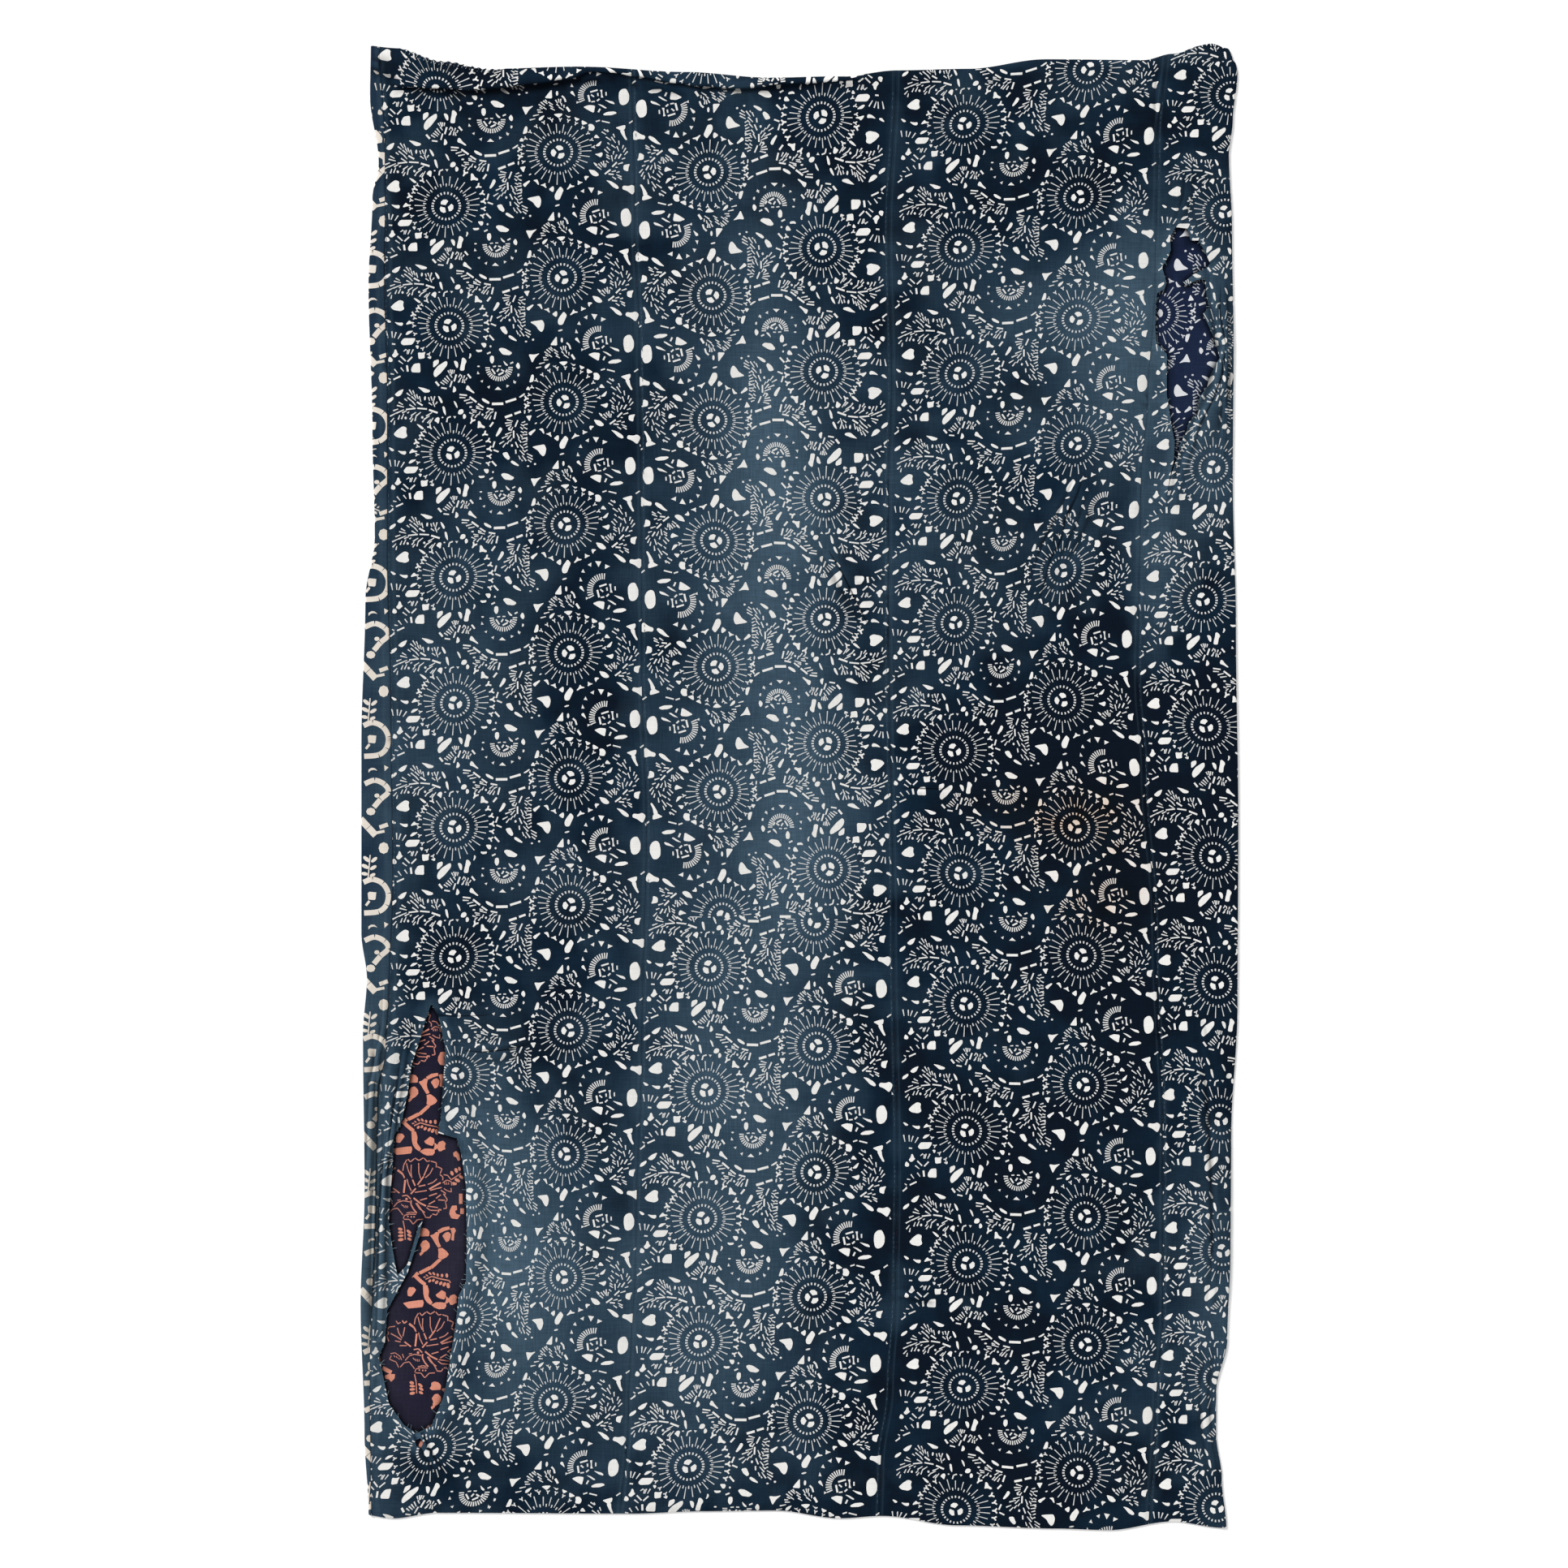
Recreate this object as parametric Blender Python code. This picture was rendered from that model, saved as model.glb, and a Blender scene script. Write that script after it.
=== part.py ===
"""Futon cover: seven loom widths of cotton, sewn into an empty bag that lies flat on its back.

Places on the cover are (across, along) in millimetres. Across runs to the right from the left
edge's outermost point, and along runs up from the bottom edge's lowest point. The model is in
metres, its origin under the middle of the cover, at the height of the surface it lies on.
"""

import math
from collections import namedtuple

import bmesh
import bpy
from mathutils import Vector

MM = 0.001

# The cover as it lies, in millimetres
COVER_WIDTH = 1114.0
COVER_LENGTH = 1886.0
CLOTH = 1.0
SEAM_GAP = 0.3
LAYER_GAP = 0.4
BACK_INSET = 2.0

# Where the seams of the back run, straight up and down
BACK_SEAM_LEFT = 300.0
BACK_SEAM_RIGHT = 605.0
BACK_SEAM_SIDE = 908.0

# Rows of faces up the cover, closer together near the top, where the tuck is
ROW_PITCH = 47.0
LAST_EVEN_ROW = 1786.0
TUCK_ROW_PITCH = 7.5

# A part of the cover's length, and how far a seam or an edge then lies from a straight line
Bend = namedtuple("Bend", "at offset")

LEFT_EDGE = (
    Bend(0, 12), Bend(24, 10), Bend(120, 5), Bend(286, 0), Bend(430, 5), Bend(628, 3),
    Bend(701, 8), Bend(757, 1), Bend(1000, 1), Bend(1180, 6), Bend(1261, 18), Bend(1396, 15),
    Bend(1580, 10), Bend(1690, 15), Bend(1735, 23), Bend(1819, 12), Bend(1883, 13),
)
RIGHT_EDGE = (
    Bend(0, 1099), Bend(66, 1093), Bend(121, 1086), Bend(176, 1086), Bend(242, 1100),
    Bend(352, 1104), Bend(500, 1105), Bend(665, 1113), Bend(892, 1114), Bend(1149, 1111),
    Bend(1334, 1107), Bend(1506, 1108), Bend(1653, 1106), Bend(1745, 1102), Bend(1789, 1107),
    Bend(1848, 1113), Bend(1886, 1104),
)
BOTTOM_EDGE = (
    Bend(0, 20), Bend(41, 15), Bend(97, 22), Bend(343, 21), Bend(435, 24), Bend(527, 25),
    Bend(608, 15), Bend(662, 18), Bend(758, 6), Bend(883, 2), Bend(950, 0), Bend(1030, 11),
    Bend(1093, 3), Bend(1114, 6),
)
TOP_EDGE = (
    Bend(0, 1884), Bend(48, 1880), Bend(104, 1864), Bend(167, 1854), Bend(284, 1857),
    Bend(413, 1850), Bend(516, 1843), Bend(615, 1845), Bend(681, 1852), Bend(772, 1854),
    Bend(868, 1866), Bend(994, 1865), Bend(1030, 1873), Bend(1080, 1886), Bend(1100, 1880),
    Bend(1114, 1850),
)
STRIP_SEAM = (
    Bend(0, 14), Bend(191, 12), Bend(426, 20), Bend(573, 22), Bend(684, 36), Bend(819, 41),
    Bend(1076, 38), Bend(1224, 34), Bend(1433, 34), Bend(1598, 30), Bend(1672, 31),
    Bend(1750, 31), Bend(1883, 24),
)
LEFT_SEAM = (
    Bend(0, 329), Bend(139, 340), Bend(389, 350), Bend(610, 357), Bend(892, 363),
    Bend(1076, 357), Bend(1334, 356), Bend(1506, 354), Bend(1653, 348), Bend(1883, 344),
)
MIDDLE_SEAM = (
    Bend(0, 658), Bend(83, 660), Bend(180, 672), Bend(298, 679), Bend(462, 681),
    Bend(757, 676), Bend(1149, 670), Bend(1334, 670), Bend(1451, 674), Bend(1653, 670),
    Bend(1838, 679), Bend(1883, 681),
)
RIGHT_SEAM = (
    Bend(0, 1000), Bend(139, 1008), Bend(279, 1018), Bend(500, 1018), Bend(757, 1008),
    Bend(966, 994), Bend(1076, 986), Bend(1334, 990), Bend(1433, 999), Bend(1580, 1008),
    Bend(1763, 1011), Bend(1883, 1022),
)

# A soft ridge of the front along a line of (across, along) places: its height, and how far it
# spreads to the left and to the right of the line's direction
Ridge = namedtuple("Ridge", "name height left right line")

RIDGES = (
    Ridge("tuck at the top left", 4.2, 24, 7,
          ((50, 1832), (124, 1827), (209, 1833), (267, 1843), (321, 1846), (397, 1830),
           (424, 1827))),
    Ridge("tuck at the top middle", 2.6, 16, 7,
          ((424, 1834), (479, 1830), (552, 1836), (650, 1840))),
    Ridge("corner crease", 2.6, 12, 10, ((8, 1862), (48, 1846))),
    Ridge("crease in the middle", 3.0, 20, 14, ((588, 1251), (612, 1205), (639, 1164))),
    Ridge("slanting pucker", 3.0, 24, 26,
          ((916, 1334), (901, 1297), (876, 1242), (857, 1201), (843, 1128))),
    Ridge("pucker by the stains", 2.4, 22, 22, ((676, 941), (745, 938))),
    Ridge("pucker by the low seam", 2.2, 22, 22, ((676, 298), (720, 294))),
    Ridge("crease beside the left tear", 3.2, 22, 14, ((135, 606), (170, 607), (212, 616))),
    Ridge("fold down the right side", 4.0, 18, 14,
          ((1080, 640), (1090, 500), (1092, 400), (1092, 300))),
    Ridge("rolled rim of the right tear", 3.4, 16, 14,
          ((1086, 1600), (1090, 1560), (1098, 1500), (1088, 1440), (1060, 1370), (1036, 1310))),
    Ridge("lifted rim of the left tear", 3.0, 16, 20,
          ((100, 640), (120, 560), (142, 470), (146, 370), (130, 260), (112, 150))),
    Ridge("gathered strip beside the left tear", 3.0, 14, 12,
          ((34, 620), (30, 500), (24, 400), (22, 300), (14, 200))),
)

# The front also rises and falls a little all over, in two slanting waves
Wave = namedtuple("Wave", "height across along phase")

WAVES = (Wave(0.55, 410.0, 640.0, 0.6), Wave(0.45, -270.0, 350.0, 2.1))
SEAM_DIP = 0.6
SEAM_DIP_REACH = 9.0

# The holes that the tears leave in the front, as (across, along) places round their rims
LEFT_TEAR = (
    (90, 668), (100, 650), (108, 610), (105, 551), (100, 505), (123, 497), (134, 437),
    (135, 352), (125, 298), (115, 224), (104, 165), (90, 132), (71, 123), (55, 134), (36, 161),
    (27, 208), (31, 238), (35, 279), (60, 327), (73, 367), (80, 394), (74, 390), (65, 366),
    (54, 338), (46, 323), (41, 356), (36, 389), (38, 426), (43, 500), (53, 521), (65, 591),
    (74, 617), (85, 654),
)
RIGHT_TEAR = (
    (1034, 1653), (1049, 1651), (1054, 1636), (1070, 1624), (1078, 1607), (1073, 1600),
    (1057, 1593), (1044, 1582), (1059, 1584), (1071, 1587), (1074, 1561), (1069, 1543),
    (1077, 1526), (1084, 1509), (1088, 1487), (1079, 1467), (1065, 1438), (1051, 1406),
    (1040, 1377), (1030, 1343), (1022, 1312), (1025, 1336), (1031, 1359), (1031, 1380),
    (1026, 1421), (1023, 1465), (1023, 1492), (1011, 1508), (1010, 1558), (1021, 1575),
    (1018, 1602), (1028, 1624),
)

# How a loom width is divided across, as shares of its width
FRONT_COLUMNS = (0.0, 0.035, 0.12, 0.26, 0.42, 0.58, 0.74, 0.88, 0.965, 1.0)
SIDE_COLUMNS = (0.0, 0.1, 0.28, 0.46, 0.64, 0.8, 0.92)
STRIP_COLUMNS = (0.0, 0.5)
FOLD_ANGLES = (90, 60, 30, 0, -30, -60, -90)
BACK_COLUMNS = (0.5, 1.0)

# The sheets' colours, as linear red, green and blue
INDIGO = (0.028, 0.062, 0.110)
AUBERGINE = (0.020, 0.018, 0.040)


def clear_scene():
    """Leave an empty scene to build in."""
    for thing in list(bpy.data.objects):
        bpy.data.objects.remove(thing)


def cloth_material(name, colour):
    """Plain dyed cotton of one colour."""
    material = bpy.data.materials.new(name)
    material.use_nodes = True
    shader = material.node_tree.nodes["Principled BSDF"]
    shader.inputs["Base Color"].default_value = (*colour, 1.0)
    shader.inputs["Roughness"].default_value = 0.9
    shader.inputs["Metallic"].default_value = 0.0
    return material


def bent(bends, at):
    """The offset of an edge or seam at a place, on a smooth curve through its bends."""
    if at <= bends[0].at:
        return bends[0].offset
    if at >= bends[-1].at:
        return bends[-1].offset
    after = next(i for i, bend in enumerate(bends) if bend.at > at)
    start, end = bends[after - 1], bends[after]
    share = (at - start.at) / (end.at - start.at)
    eased = share * share * (3 - 2 * share)
    return start.offset + (end.offset - start.offset) * eased


def nearest_on(line, place):
    """Distance from a place to a line, its side (left is positive) and the share along it."""
    best = (math.inf, 1.0, 0.0)
    whole = sum((Vector(b) - Vector(a)).length for a, b in zip(line, line[1:]))
    passed = 0.0
    for a, b in zip(line, line[1:]):
        start, step = Vector(a), Vector(b) - Vector(a)
        share = max(0.0, min(1.0, (place - start).dot(step) / step.length_squared))
        away = place - (start + step * share)
        side = math.copysign(1.0, step.x * away.y - step.y * away.x)
        if away.length < best[0]:
            best = (away.length, side, (passed + share * step.length) / whole)
        passed += step.length
    return best


def ridge_height(ridge, place):
    """How much a ridge lifts the cloth at a place. It fades out at both ends."""
    distance, side, share = nearest_on(ridge.line, place)
    reach = ridge.left if side > 0 else ridge.right
    if distance >= reach:
        return 0.0
    across = 0.5 + 0.5 * math.cos(math.pi * distance / reach)
    return ridge.height * across * (0.25 + 0.75 * math.sin(math.pi * share))


def wave_height(wave, place):
    """The rise of a slanting wave at a place, never below zero."""
    turn = 2 * math.pi * (place.x / wave.across + place.y / wave.along)
    return wave.height * (1 + math.sin(turn + wave.phase))


def seam_dip(place):
    """How far the cloth is drawn down where the place is near a seam of the front."""
    gaps = [place.x - bent(seam, place.y) for seam in (LEFT_SEAM, MIDDLE_SEAM, RIGHT_SEAM)]
    nearest = min(abs(gap) for gap in gaps)
    return SEAM_DIP * math.exp(-((nearest / SEAM_DIP_REACH) ** 2))


def front_height(across, along):
    """Height of the middle of the front's cloth above the surface that the cover lies on."""
    place = Vector((across, along))
    rise = SEAM_DIP + sum(wave_height(wave, place) for wave in WAVES)
    rise += max(ridge_height(ridge, place) for ridge in RIDGES)
    return CLOTH + LAYER_GAP + CLOTH / 2 + rise - seam_dip(place)


def rows_up():
    """Shares of the cover's length at which the sheets have a row of points."""
    even = [ROW_PITCH * i for i in range(round(LAST_EVEN_ROW / ROW_PITCH) + 1)]
    close = []
    at = even[-1] + TUCK_ROW_PITCH
    while at < COVER_LENGTH - TUCK_ROW_PITCH / 2:
        close.append(at)
        at += TUCK_ROW_PITCH
    return [at / COVER_LENGTH for at in even + close] + [1.0]


def along_at(share, across, inset=0.0):
    """The place along the cover at a share of its length, between its bottom and top edges."""
    low = bent(BOTTOM_EDGE, across) + inset
    high = bent(TOP_EDGE, across) - inset
    return low + (high - low) * share


def front_station(seams, offsets, share):
    """A place on the front between two seams, and the way out of the cloth there."""
    def at(row):
        nominal = sum(bent(seam, COVER_LENGTH * row) * part
                      for seam, part in zip(seams, (1 - share, share)))
        along = along_at(row, nominal)
        left = bent(seams[0], along) + offsets[0]
        right = bent(seams[1], along) + offsets[1]
        across = left + (right - left) * share
        return Vector((across, along, front_height(across, along))), Vector((0, 0, 1))
    return at


def fold_centre(edge, along, inward):
    """Centre and radius of the round fold at a side edge, in the cloth's middle."""
    outermost = bent(edge, along) + inward * CLOTH / 2
    radius = (front_height(outermost + inward * CLOTH, along) - CLOTH / 2) / 2
    return Vector((outermost + inward * radius, along, CLOTH / 2 + radius)), radius


def wrap_front_station(edge, seam, inward, share):
    """A place between a front seam and the fold at a side edge."""
    def at(row):
        ends = (bent(seam, COVER_LENGTH * row), bent(edge, COVER_LENGTH * row))
        along = along_at(row, ends[0] + (ends[1] - ends[0]) * share)
        centre, _ = fold_centre(edge, along, inward)
        start = bent(seam, along) - inward * SEAM_GAP / 2
        across = start + (centre.x - start) * share
        return Vector((across, along, front_height(across, along))), Vector((0, 0, 1))
    return at


def wrap_fold_station(edge, inward, angle):
    """A place on the round fold itself, at an angle from level, outward being zero."""
    turn = math.radians(angle)
    def at(row):
        inset = BACK_INSET * (0.5 - 0.5 * math.sin(turn))
        along = along_at(row, bent(edge, COVER_LENGTH * row), inset)
        centre, radius = fold_centre(edge, along, inward)
        way = Vector((-inward * math.cos(turn), 0, math.sin(turn)))
        return centre + way * radius, way
    return at


def wrap_back_station(edge, seam_across, inward, share):
    """A place on the back between the fold at a side edge and a seam of the back."""
    def at(row):
        along = along_at(row, bent(edge, COVER_LENGTH * row), BACK_INSET)
        centre, _ = fold_centre(edge, along, inward)
        end = seam_across - inward * SEAM_GAP / 2
        across = centre.x + (end - centre.x) * share
        along = along_at(row, across, BACK_INSET)
        return Vector((across, along, CLOTH / 2)), Vector((0, 0, -1))
    return at


def back_station(across):
    """A place on a flat width of the back."""
    def at(row):
        return Vector((across, along_at(row, across, BACK_INSET), CLOTH / 2)), Vector((0, 0, -1))
    return at


def to_model(place):
    """A place on the cover, in the model's metres."""
    middle = Vector((COVER_WIDTH / 2, COVER_LENGTH / 2, 0))
    return (place - middle) * MM


def sheet_mesh(name, stations, rows):
    """A closed sheet of cloth. Each station is a column of points and gives each row's place."""
    bm = bmesh.new()
    columns = len(stations) - 1
    bmesh.ops.create_grid(bm, x_segments=columns, y_segments=len(rows) - 1, size=0.5)
    thickness = bm.verts.layers.float_vector.new("thickness")
    for vert in bm.verts:
        column = round((vert.co.x + 0.5) * columns)
        row = round((vert.co.y + 0.5) * (len(rows) - 1))
        place, out = stations[column](rows[row])
        vert.co = to_model(place - out * CLOTH / 2)
        vert[thickness] = out * CLOTH * MM
    raised = bmesh.ops.extrude_face_region(bm, geom=bm.faces[:], use_keep_orig=True)
    for vert in raised["geom"]:
        if isinstance(vert, bmesh.types.BMVert):
            vert.co += vert[thickness]
    bm.verts.layers.float_vector.remove(thickness)
    bmesh.ops.triangulate(bm, faces=bm.faces[:])
    bmesh.ops.recalc_face_normals(bm, faces=bm.faces[:])
    mesh = bpy.data.meshes.new(name)
    bm.to_mesh(mesh)
    bm.free()
    mesh.shade_smooth()
    mesh.set_sharp_from_angle(angle=math.radians(40))
    return mesh


def add_sheet(name, stations, material):
    """Put a sheet of cloth in the scene as an object of its own."""
    sheet = bpy.data.objects.new(name, sheet_mesh(name, stations, rows_up()))
    sheet.data.materials.append(material)
    bpy.context.collection.objects.link(sheet)
    return sheet


def tear_cutter(name, rim):
    """A prism with the outline of a tear, from between the two layers to above the front."""
    bm = bmesh.new()
    bottom = (CLOTH + LAYER_GAP / 2) * MM
    corners = [bm.verts.new(to_model(Vector((*place, 0))) + Vector((0, 0, bottom)))
               for place in rim]
    face = bm.faces.new(corners)
    raised = bmesh.ops.extrude_face_region(bm, geom=[face], use_keep_orig=True)
    for vert in raised["geom"]:
        if isinstance(vert, bmesh.types.BMVert):
            vert.co.z += 20 * MM
    bmesh.ops.recalc_face_normals(bm, faces=bm.faces[:])
    mesh = bpy.data.meshes.new(name)
    bm.to_mesh(mesh)
    bm.free()
    cutter = bpy.data.objects.new(name, mesh)
    cutter.hide_render = True
    cutter.display_type = "WIRE"
    bpy.context.collection.objects.link(cutter)
    return cutter


def tear_open(sheet, rim):
    """Cut a tear's hole through the front of a sheet."""
    cut = sheet.modifiers.new("tear", "BOOLEAN")
    cut.operation = "DIFFERENCE"
    cut.solver = "EXACT"
    cut.object = tear_cutter(sheet.name + "_tear", rim)


def front_width(name, left, right, material):
    """One width of the front between two seams."""
    offsets = (SEAM_GAP / 2, -SEAM_GAP / 2)
    stations = [front_station((left, right), offsets, share) for share in FRONT_COLUMNS]
    return add_sheet(name, stations, material)


def wrapped_width(name, edge, front_seam, back_seam, inward, front_columns, material):
    """A width that runs from a front seam round a side edge to a seam of the back."""
    stations = [wrap_front_station(edge, front_seam, inward, share) for share in front_columns]
    stations += [wrap_fold_station(edge, inward, angle) for angle in FOLD_ANGLES]
    stations += [wrap_back_station(edge, back_seam, inward, share) for share in BACK_COLUMNS]
    return add_sheet(name, stations, material)


def back_width(name, left, right, material):
    """One flat width of the back between two of its seams."""
    ends = (left + SEAM_GAP / 2, right - SEAM_GAP / 2)
    middle = sum(ends) / 2
    return add_sheet(name, [back_station(at) for at in (ends[0], middle, ends[1])], material)


def build():
    """Build the seven widths of the cover."""
    clear_scene()
    flowers = cloth_material("indigo cotton with flowers", INDIGO)
    vines = cloth_material("indigo cotton with vines", AUBERGINE)
    front_left = front_width("front_left", STRIP_SEAM, LEFT_SEAM, flowers)
    front_width("front_mid_left", LEFT_SEAM, MIDDLE_SEAM, flowers)
    front_width("front_mid_right", MIDDLE_SEAM, RIGHT_SEAM, flowers)
    side_right = wrapped_width("side_right", RIGHT_EDGE, RIGHT_SEAM, BACK_SEAM_SIDE, -1,
                               SIDE_COLUMNS, flowers)
    wrapped_width("back_left", LEFT_EDGE, STRIP_SEAM, BACK_SEAM_LEFT, 1, STRIP_COLUMNS, vines)
    back_width("back_middle", BACK_SEAM_LEFT, BACK_SEAM_RIGHT, vines)
    back_width("back_right", BACK_SEAM_RIGHT, BACK_SEAM_SIDE, vines)
    tear_open(front_left, LEFT_TEAR)
    tear_open(side_right, RIGHT_TEAR)


build()
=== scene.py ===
"""Futon cover: an empty bag sewn from loom widths of stencil-dyed indigo cotton, lying face up.

Places on the cover are (across, along) in millimetres. Across runs to the right from the left
edge's outermost point, and along runs up from the bottom edge's lowest point. A width that folds
round a side of the cover is cut flat first, so across then goes on past the fold, as if the cloth
were unfolded. Everything is turned to the frame's metres as it is placed.
"""
import logging
import math
import random
from dataclasses import dataclass, field
from enum import Enum
from functools import partial
from typing import Any, Callable, NamedTuple, Optional, Sequence

import bmesh
import bpy
import numpy as np
from mathutils import Matrix, Vector
from mathutils.geometry import delaunay_2d_cdt


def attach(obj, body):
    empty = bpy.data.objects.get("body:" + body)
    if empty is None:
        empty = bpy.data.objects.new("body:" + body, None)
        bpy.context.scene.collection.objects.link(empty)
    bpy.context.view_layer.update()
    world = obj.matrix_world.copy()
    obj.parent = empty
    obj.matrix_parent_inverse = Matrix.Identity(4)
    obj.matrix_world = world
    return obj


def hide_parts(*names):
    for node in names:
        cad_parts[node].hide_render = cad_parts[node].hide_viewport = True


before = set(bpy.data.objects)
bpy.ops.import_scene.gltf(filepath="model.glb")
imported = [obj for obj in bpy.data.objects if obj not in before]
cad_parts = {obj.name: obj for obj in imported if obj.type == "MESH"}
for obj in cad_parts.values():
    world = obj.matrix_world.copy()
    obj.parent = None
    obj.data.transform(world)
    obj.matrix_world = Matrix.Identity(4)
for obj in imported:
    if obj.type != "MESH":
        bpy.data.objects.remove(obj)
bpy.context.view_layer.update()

LOG = logging.getLogger("futon_cover")

MM = 0.001
COVER_WIDTH = 1114.0
COVER_LENGTH = 1886.0

# The cloth is 0.6 mm thick, drawn in the middle of the 1 mm that the frame keeps for it
SOLID_CLOTH = 1.0
CLOTH = 0.6
LAYER_GAP = 0.4
SEAM_GAP = 0.3
BACK_INSET = 2.0
BACK_SEAM_LEFT = 300.0
BACK_SEAM_RIGHT = 605.0
BACK_SEAM_SIDE = 908.0

Array = np.ndarray
Spot = tuple[float, float]
Shape = list[Spot]
Line = tuple[Spot, ...]
# An edge's or a seam's bends: a place on the way along it, and where it then lies on the way over
Bends = Line


def pairs(*numbers: float) -> Line:
    """Read places, written as their numbers one after the other."""
    return tuple(zip(numbers[::2], numbers[1::2]))


class Ridge(NamedTuple):
    """A soft ridge, or a trough where its height is below zero, along a line of places.

    Its reach is how far it spreads to the left and to the right of the line's direction, and its
    line is written as its places' numbers.
    """

    name: str
    height: float
    left: float
    right: float
    line: tuple[float, ...]


class Wave(NamedTuple):
    """A slanting rise and fall of the whole front."""

    height: float
    across: float
    along: float
    phase: float


class Patch(NamedTuple):
    """A soft oval place on the cloth, its half sizes and how strong it is."""

    across: float
    along: float
    wide: float
    tall: float
    strength: float


LEFT_EDGE = pairs(
    0, 12, 24, 10, 120, 5, 286, 0, 430, 5, 628, 3, 701, 8, 757, 1, 1000, 1, 1180, 6, 1261, 18, 1396, 15,
    1580, 10, 1690, 15, 1735, 23, 1819, 12, 1883, 13,
)
RIGHT_EDGE = pairs(
    0, 1099, 66, 1093, 121, 1086, 176, 1086, 242, 1100, 352, 1104, 500, 1105, 665, 1113, 892, 1114,
    1149, 1111, 1334, 1107, 1506, 1108, 1653, 1106, 1745, 1102, 1789, 1107, 1848, 1113, 1886, 1104,
)
BOTTOM_EDGE = pairs(
    0, 20, 41, 15, 97, 22, 343, 21, 435, 24, 527, 25, 608, 15, 662, 18, 758, 6, 883, 2, 950, 0,
    1030, 11, 1093, 3, 1114, 6,
)
TOP_EDGE = pairs(
    0, 1884, 48, 1880, 104, 1864, 167, 1854, 284, 1857, 413, 1850, 516, 1843, 615, 1845, 681, 1852,
    772, 1854, 868, 1866, 994, 1865, 1030, 1873, 1080, 1886, 1100, 1880, 1114, 1850,
)
STRIP_SEAM = pairs(
    0, 14, 191, 12, 426, 20, 550, 22, 610, 32, 684, 36, 819, 41, 1076, 38, 1224, 34, 1433, 34, 1598, 30,
    1672, 31, 1750, 31, 1883, 24,
)
LEFT_SEAM = pairs(
    0, 329, 139, 340, 389, 350, 610, 357, 892, 363, 1076, 357, 1334, 356, 1506, 354, 1653, 348,
    1883, 344,
)
MIDDLE_SEAM = pairs(
    0, 658, 83, 660, 180, 672, 298, 679, 462, 681, 757, 676, 1149, 670, 1334, 670, 1451, 674, 1653, 670,
    1838, 679, 1883, 681,
)
RIGHT_SEAM = pairs(
    0, 1000, 139, 1008, 279, 1018, 500, 1018, 757, 1008, 966, 994, 1076, 986, 1334, 990, 1433, 999,
    1580, 1008, 1763, 1011, 1883, 1022,
)

RIDGES = (
    Ridge("tuck at the top left", 4.2, 24, 7,
          (50, 1832, 124, 1827, 209, 1833, 267, 1843, 321, 1846, 397, 1830, 424, 1827)),
    Ridge("tuck at the top middle", 2.6, 16, 7, (424, 1834, 479, 1830, 552, 1836, 650, 1840)),
    Ridge("corner crease", 2.6, 12, 10, (8, 1862, 48, 1846)),
    Ridge("crease in the middle", 3.0, 20, 14, (588, 1251, 612, 1205, 639, 1164)),
    Ridge("slanting pucker", 3.0, 24, 26, (916, 1334, 901, 1297, 876, 1242, 857, 1201, 843, 1128)),
    Ridge("pucker by the stains", 2.4, 22, 22, (676, 941, 745, 938)),
    Ridge("pucker by the low seam", 2.2, 22, 22, (676, 298, 720, 294)),
    Ridge("crease beside the left tear", 3.2, 22, 14, (135, 606, 170, 607, 212, 616)),
    Ridge("fold down the right side", 4.0, 18, 14, (1080, 640, 1090, 500, 1092, 400, 1092, 300)),
    Ridge("rolled rim of the right tear", 3.4, 16, 14,
          (1086, 1600, 1090, 1560, 1098, 1500, 1088, 1440, 1060, 1370, 1036, 1310)),
    Ridge("lifted rim of the left tear", 3.0, 16, 20,
          (100, 640, 120, 560, 142, 470, 146, 370, 130, 260, 112, 150)),
    Ridge("gathered strip beside the left tear", 3.0, 14, 12,
          (34, 620, 30, 500, 24, 400, 22, 300, 14, 200)),
)
# Slow waves of the whole front, and the dip along its seams
WAVES = (Wave(0.55, 410.0, 640.0, 0.6), Wave(0.45, -270.0, 350.0, 2.1))
SEAM_DIP = 0.6
SEAM_DIP_REACH = 9.0
# How far from a seam the cloth's finish still follows it
SEAM_SHOWN = 40.0
# A mark this wide, in millimetres, or wider is a broad one
THIN_MARK = 1.9

# The rims of the two tears, as places round them
LEFT_TEAR = pairs(
    90, 668, 100, 650, 108, 610, 104, 551, 102, 521, 99, 504, 123, 497, 128, 478, 134, 437, 135, 389,
    135, 352, 134, 315, 125, 298, 121, 261, 115, 224, 108, 180, 104, 165, 90, 132, 71, 123, 55, 134,
    36, 161, 27, 205, 23, 220, 31, 238, 34, 279, 60, 327, 73, 367, 79, 393, 75, 389, 68, 366, 60, 338,
    47, 323, 41, 356, 36, 389, 38, 426, 41, 462, 43, 500, 53, 521, 60, 555, 65, 591, 74, 617, 85, 654,
)
LITTLE_HOLE = pairs(70, 114, 76, 117, 80, 111, 77, 105, 71, 107)
RIGHT_TEAR = pairs(
    1034, 1653, 1049, 1651, 1053, 1636, 1063, 1636, 1070, 1624, 1078, 1607, 1073, 1601, 1057, 1593,
    1044, 1583, 1048, 1579, 1059, 1585, 1071, 1588, 1074, 1561, 1077, 1552, 1069, 1543, 1077, 1526,
    1084, 1509, 1090, 1487, 1079, 1467, 1074, 1450, 1065, 1438, 1062, 1415, 1051, 1406, 1048, 1394,
    1040, 1377, 1037, 1363, 1030, 1343, 1023, 1314, 1027, 1336, 1032, 1359, 1033, 1380, 1029, 1401,
    1026, 1421, 1023, 1440, 1023, 1492, 1010, 1506, 1008, 1530, 1009, 1558, 1011, 1569, 1020, 1575,
    1022, 1584, 1017, 1602, 1024, 1614, 1028, 1624, 1027, 1639,
)


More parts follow.
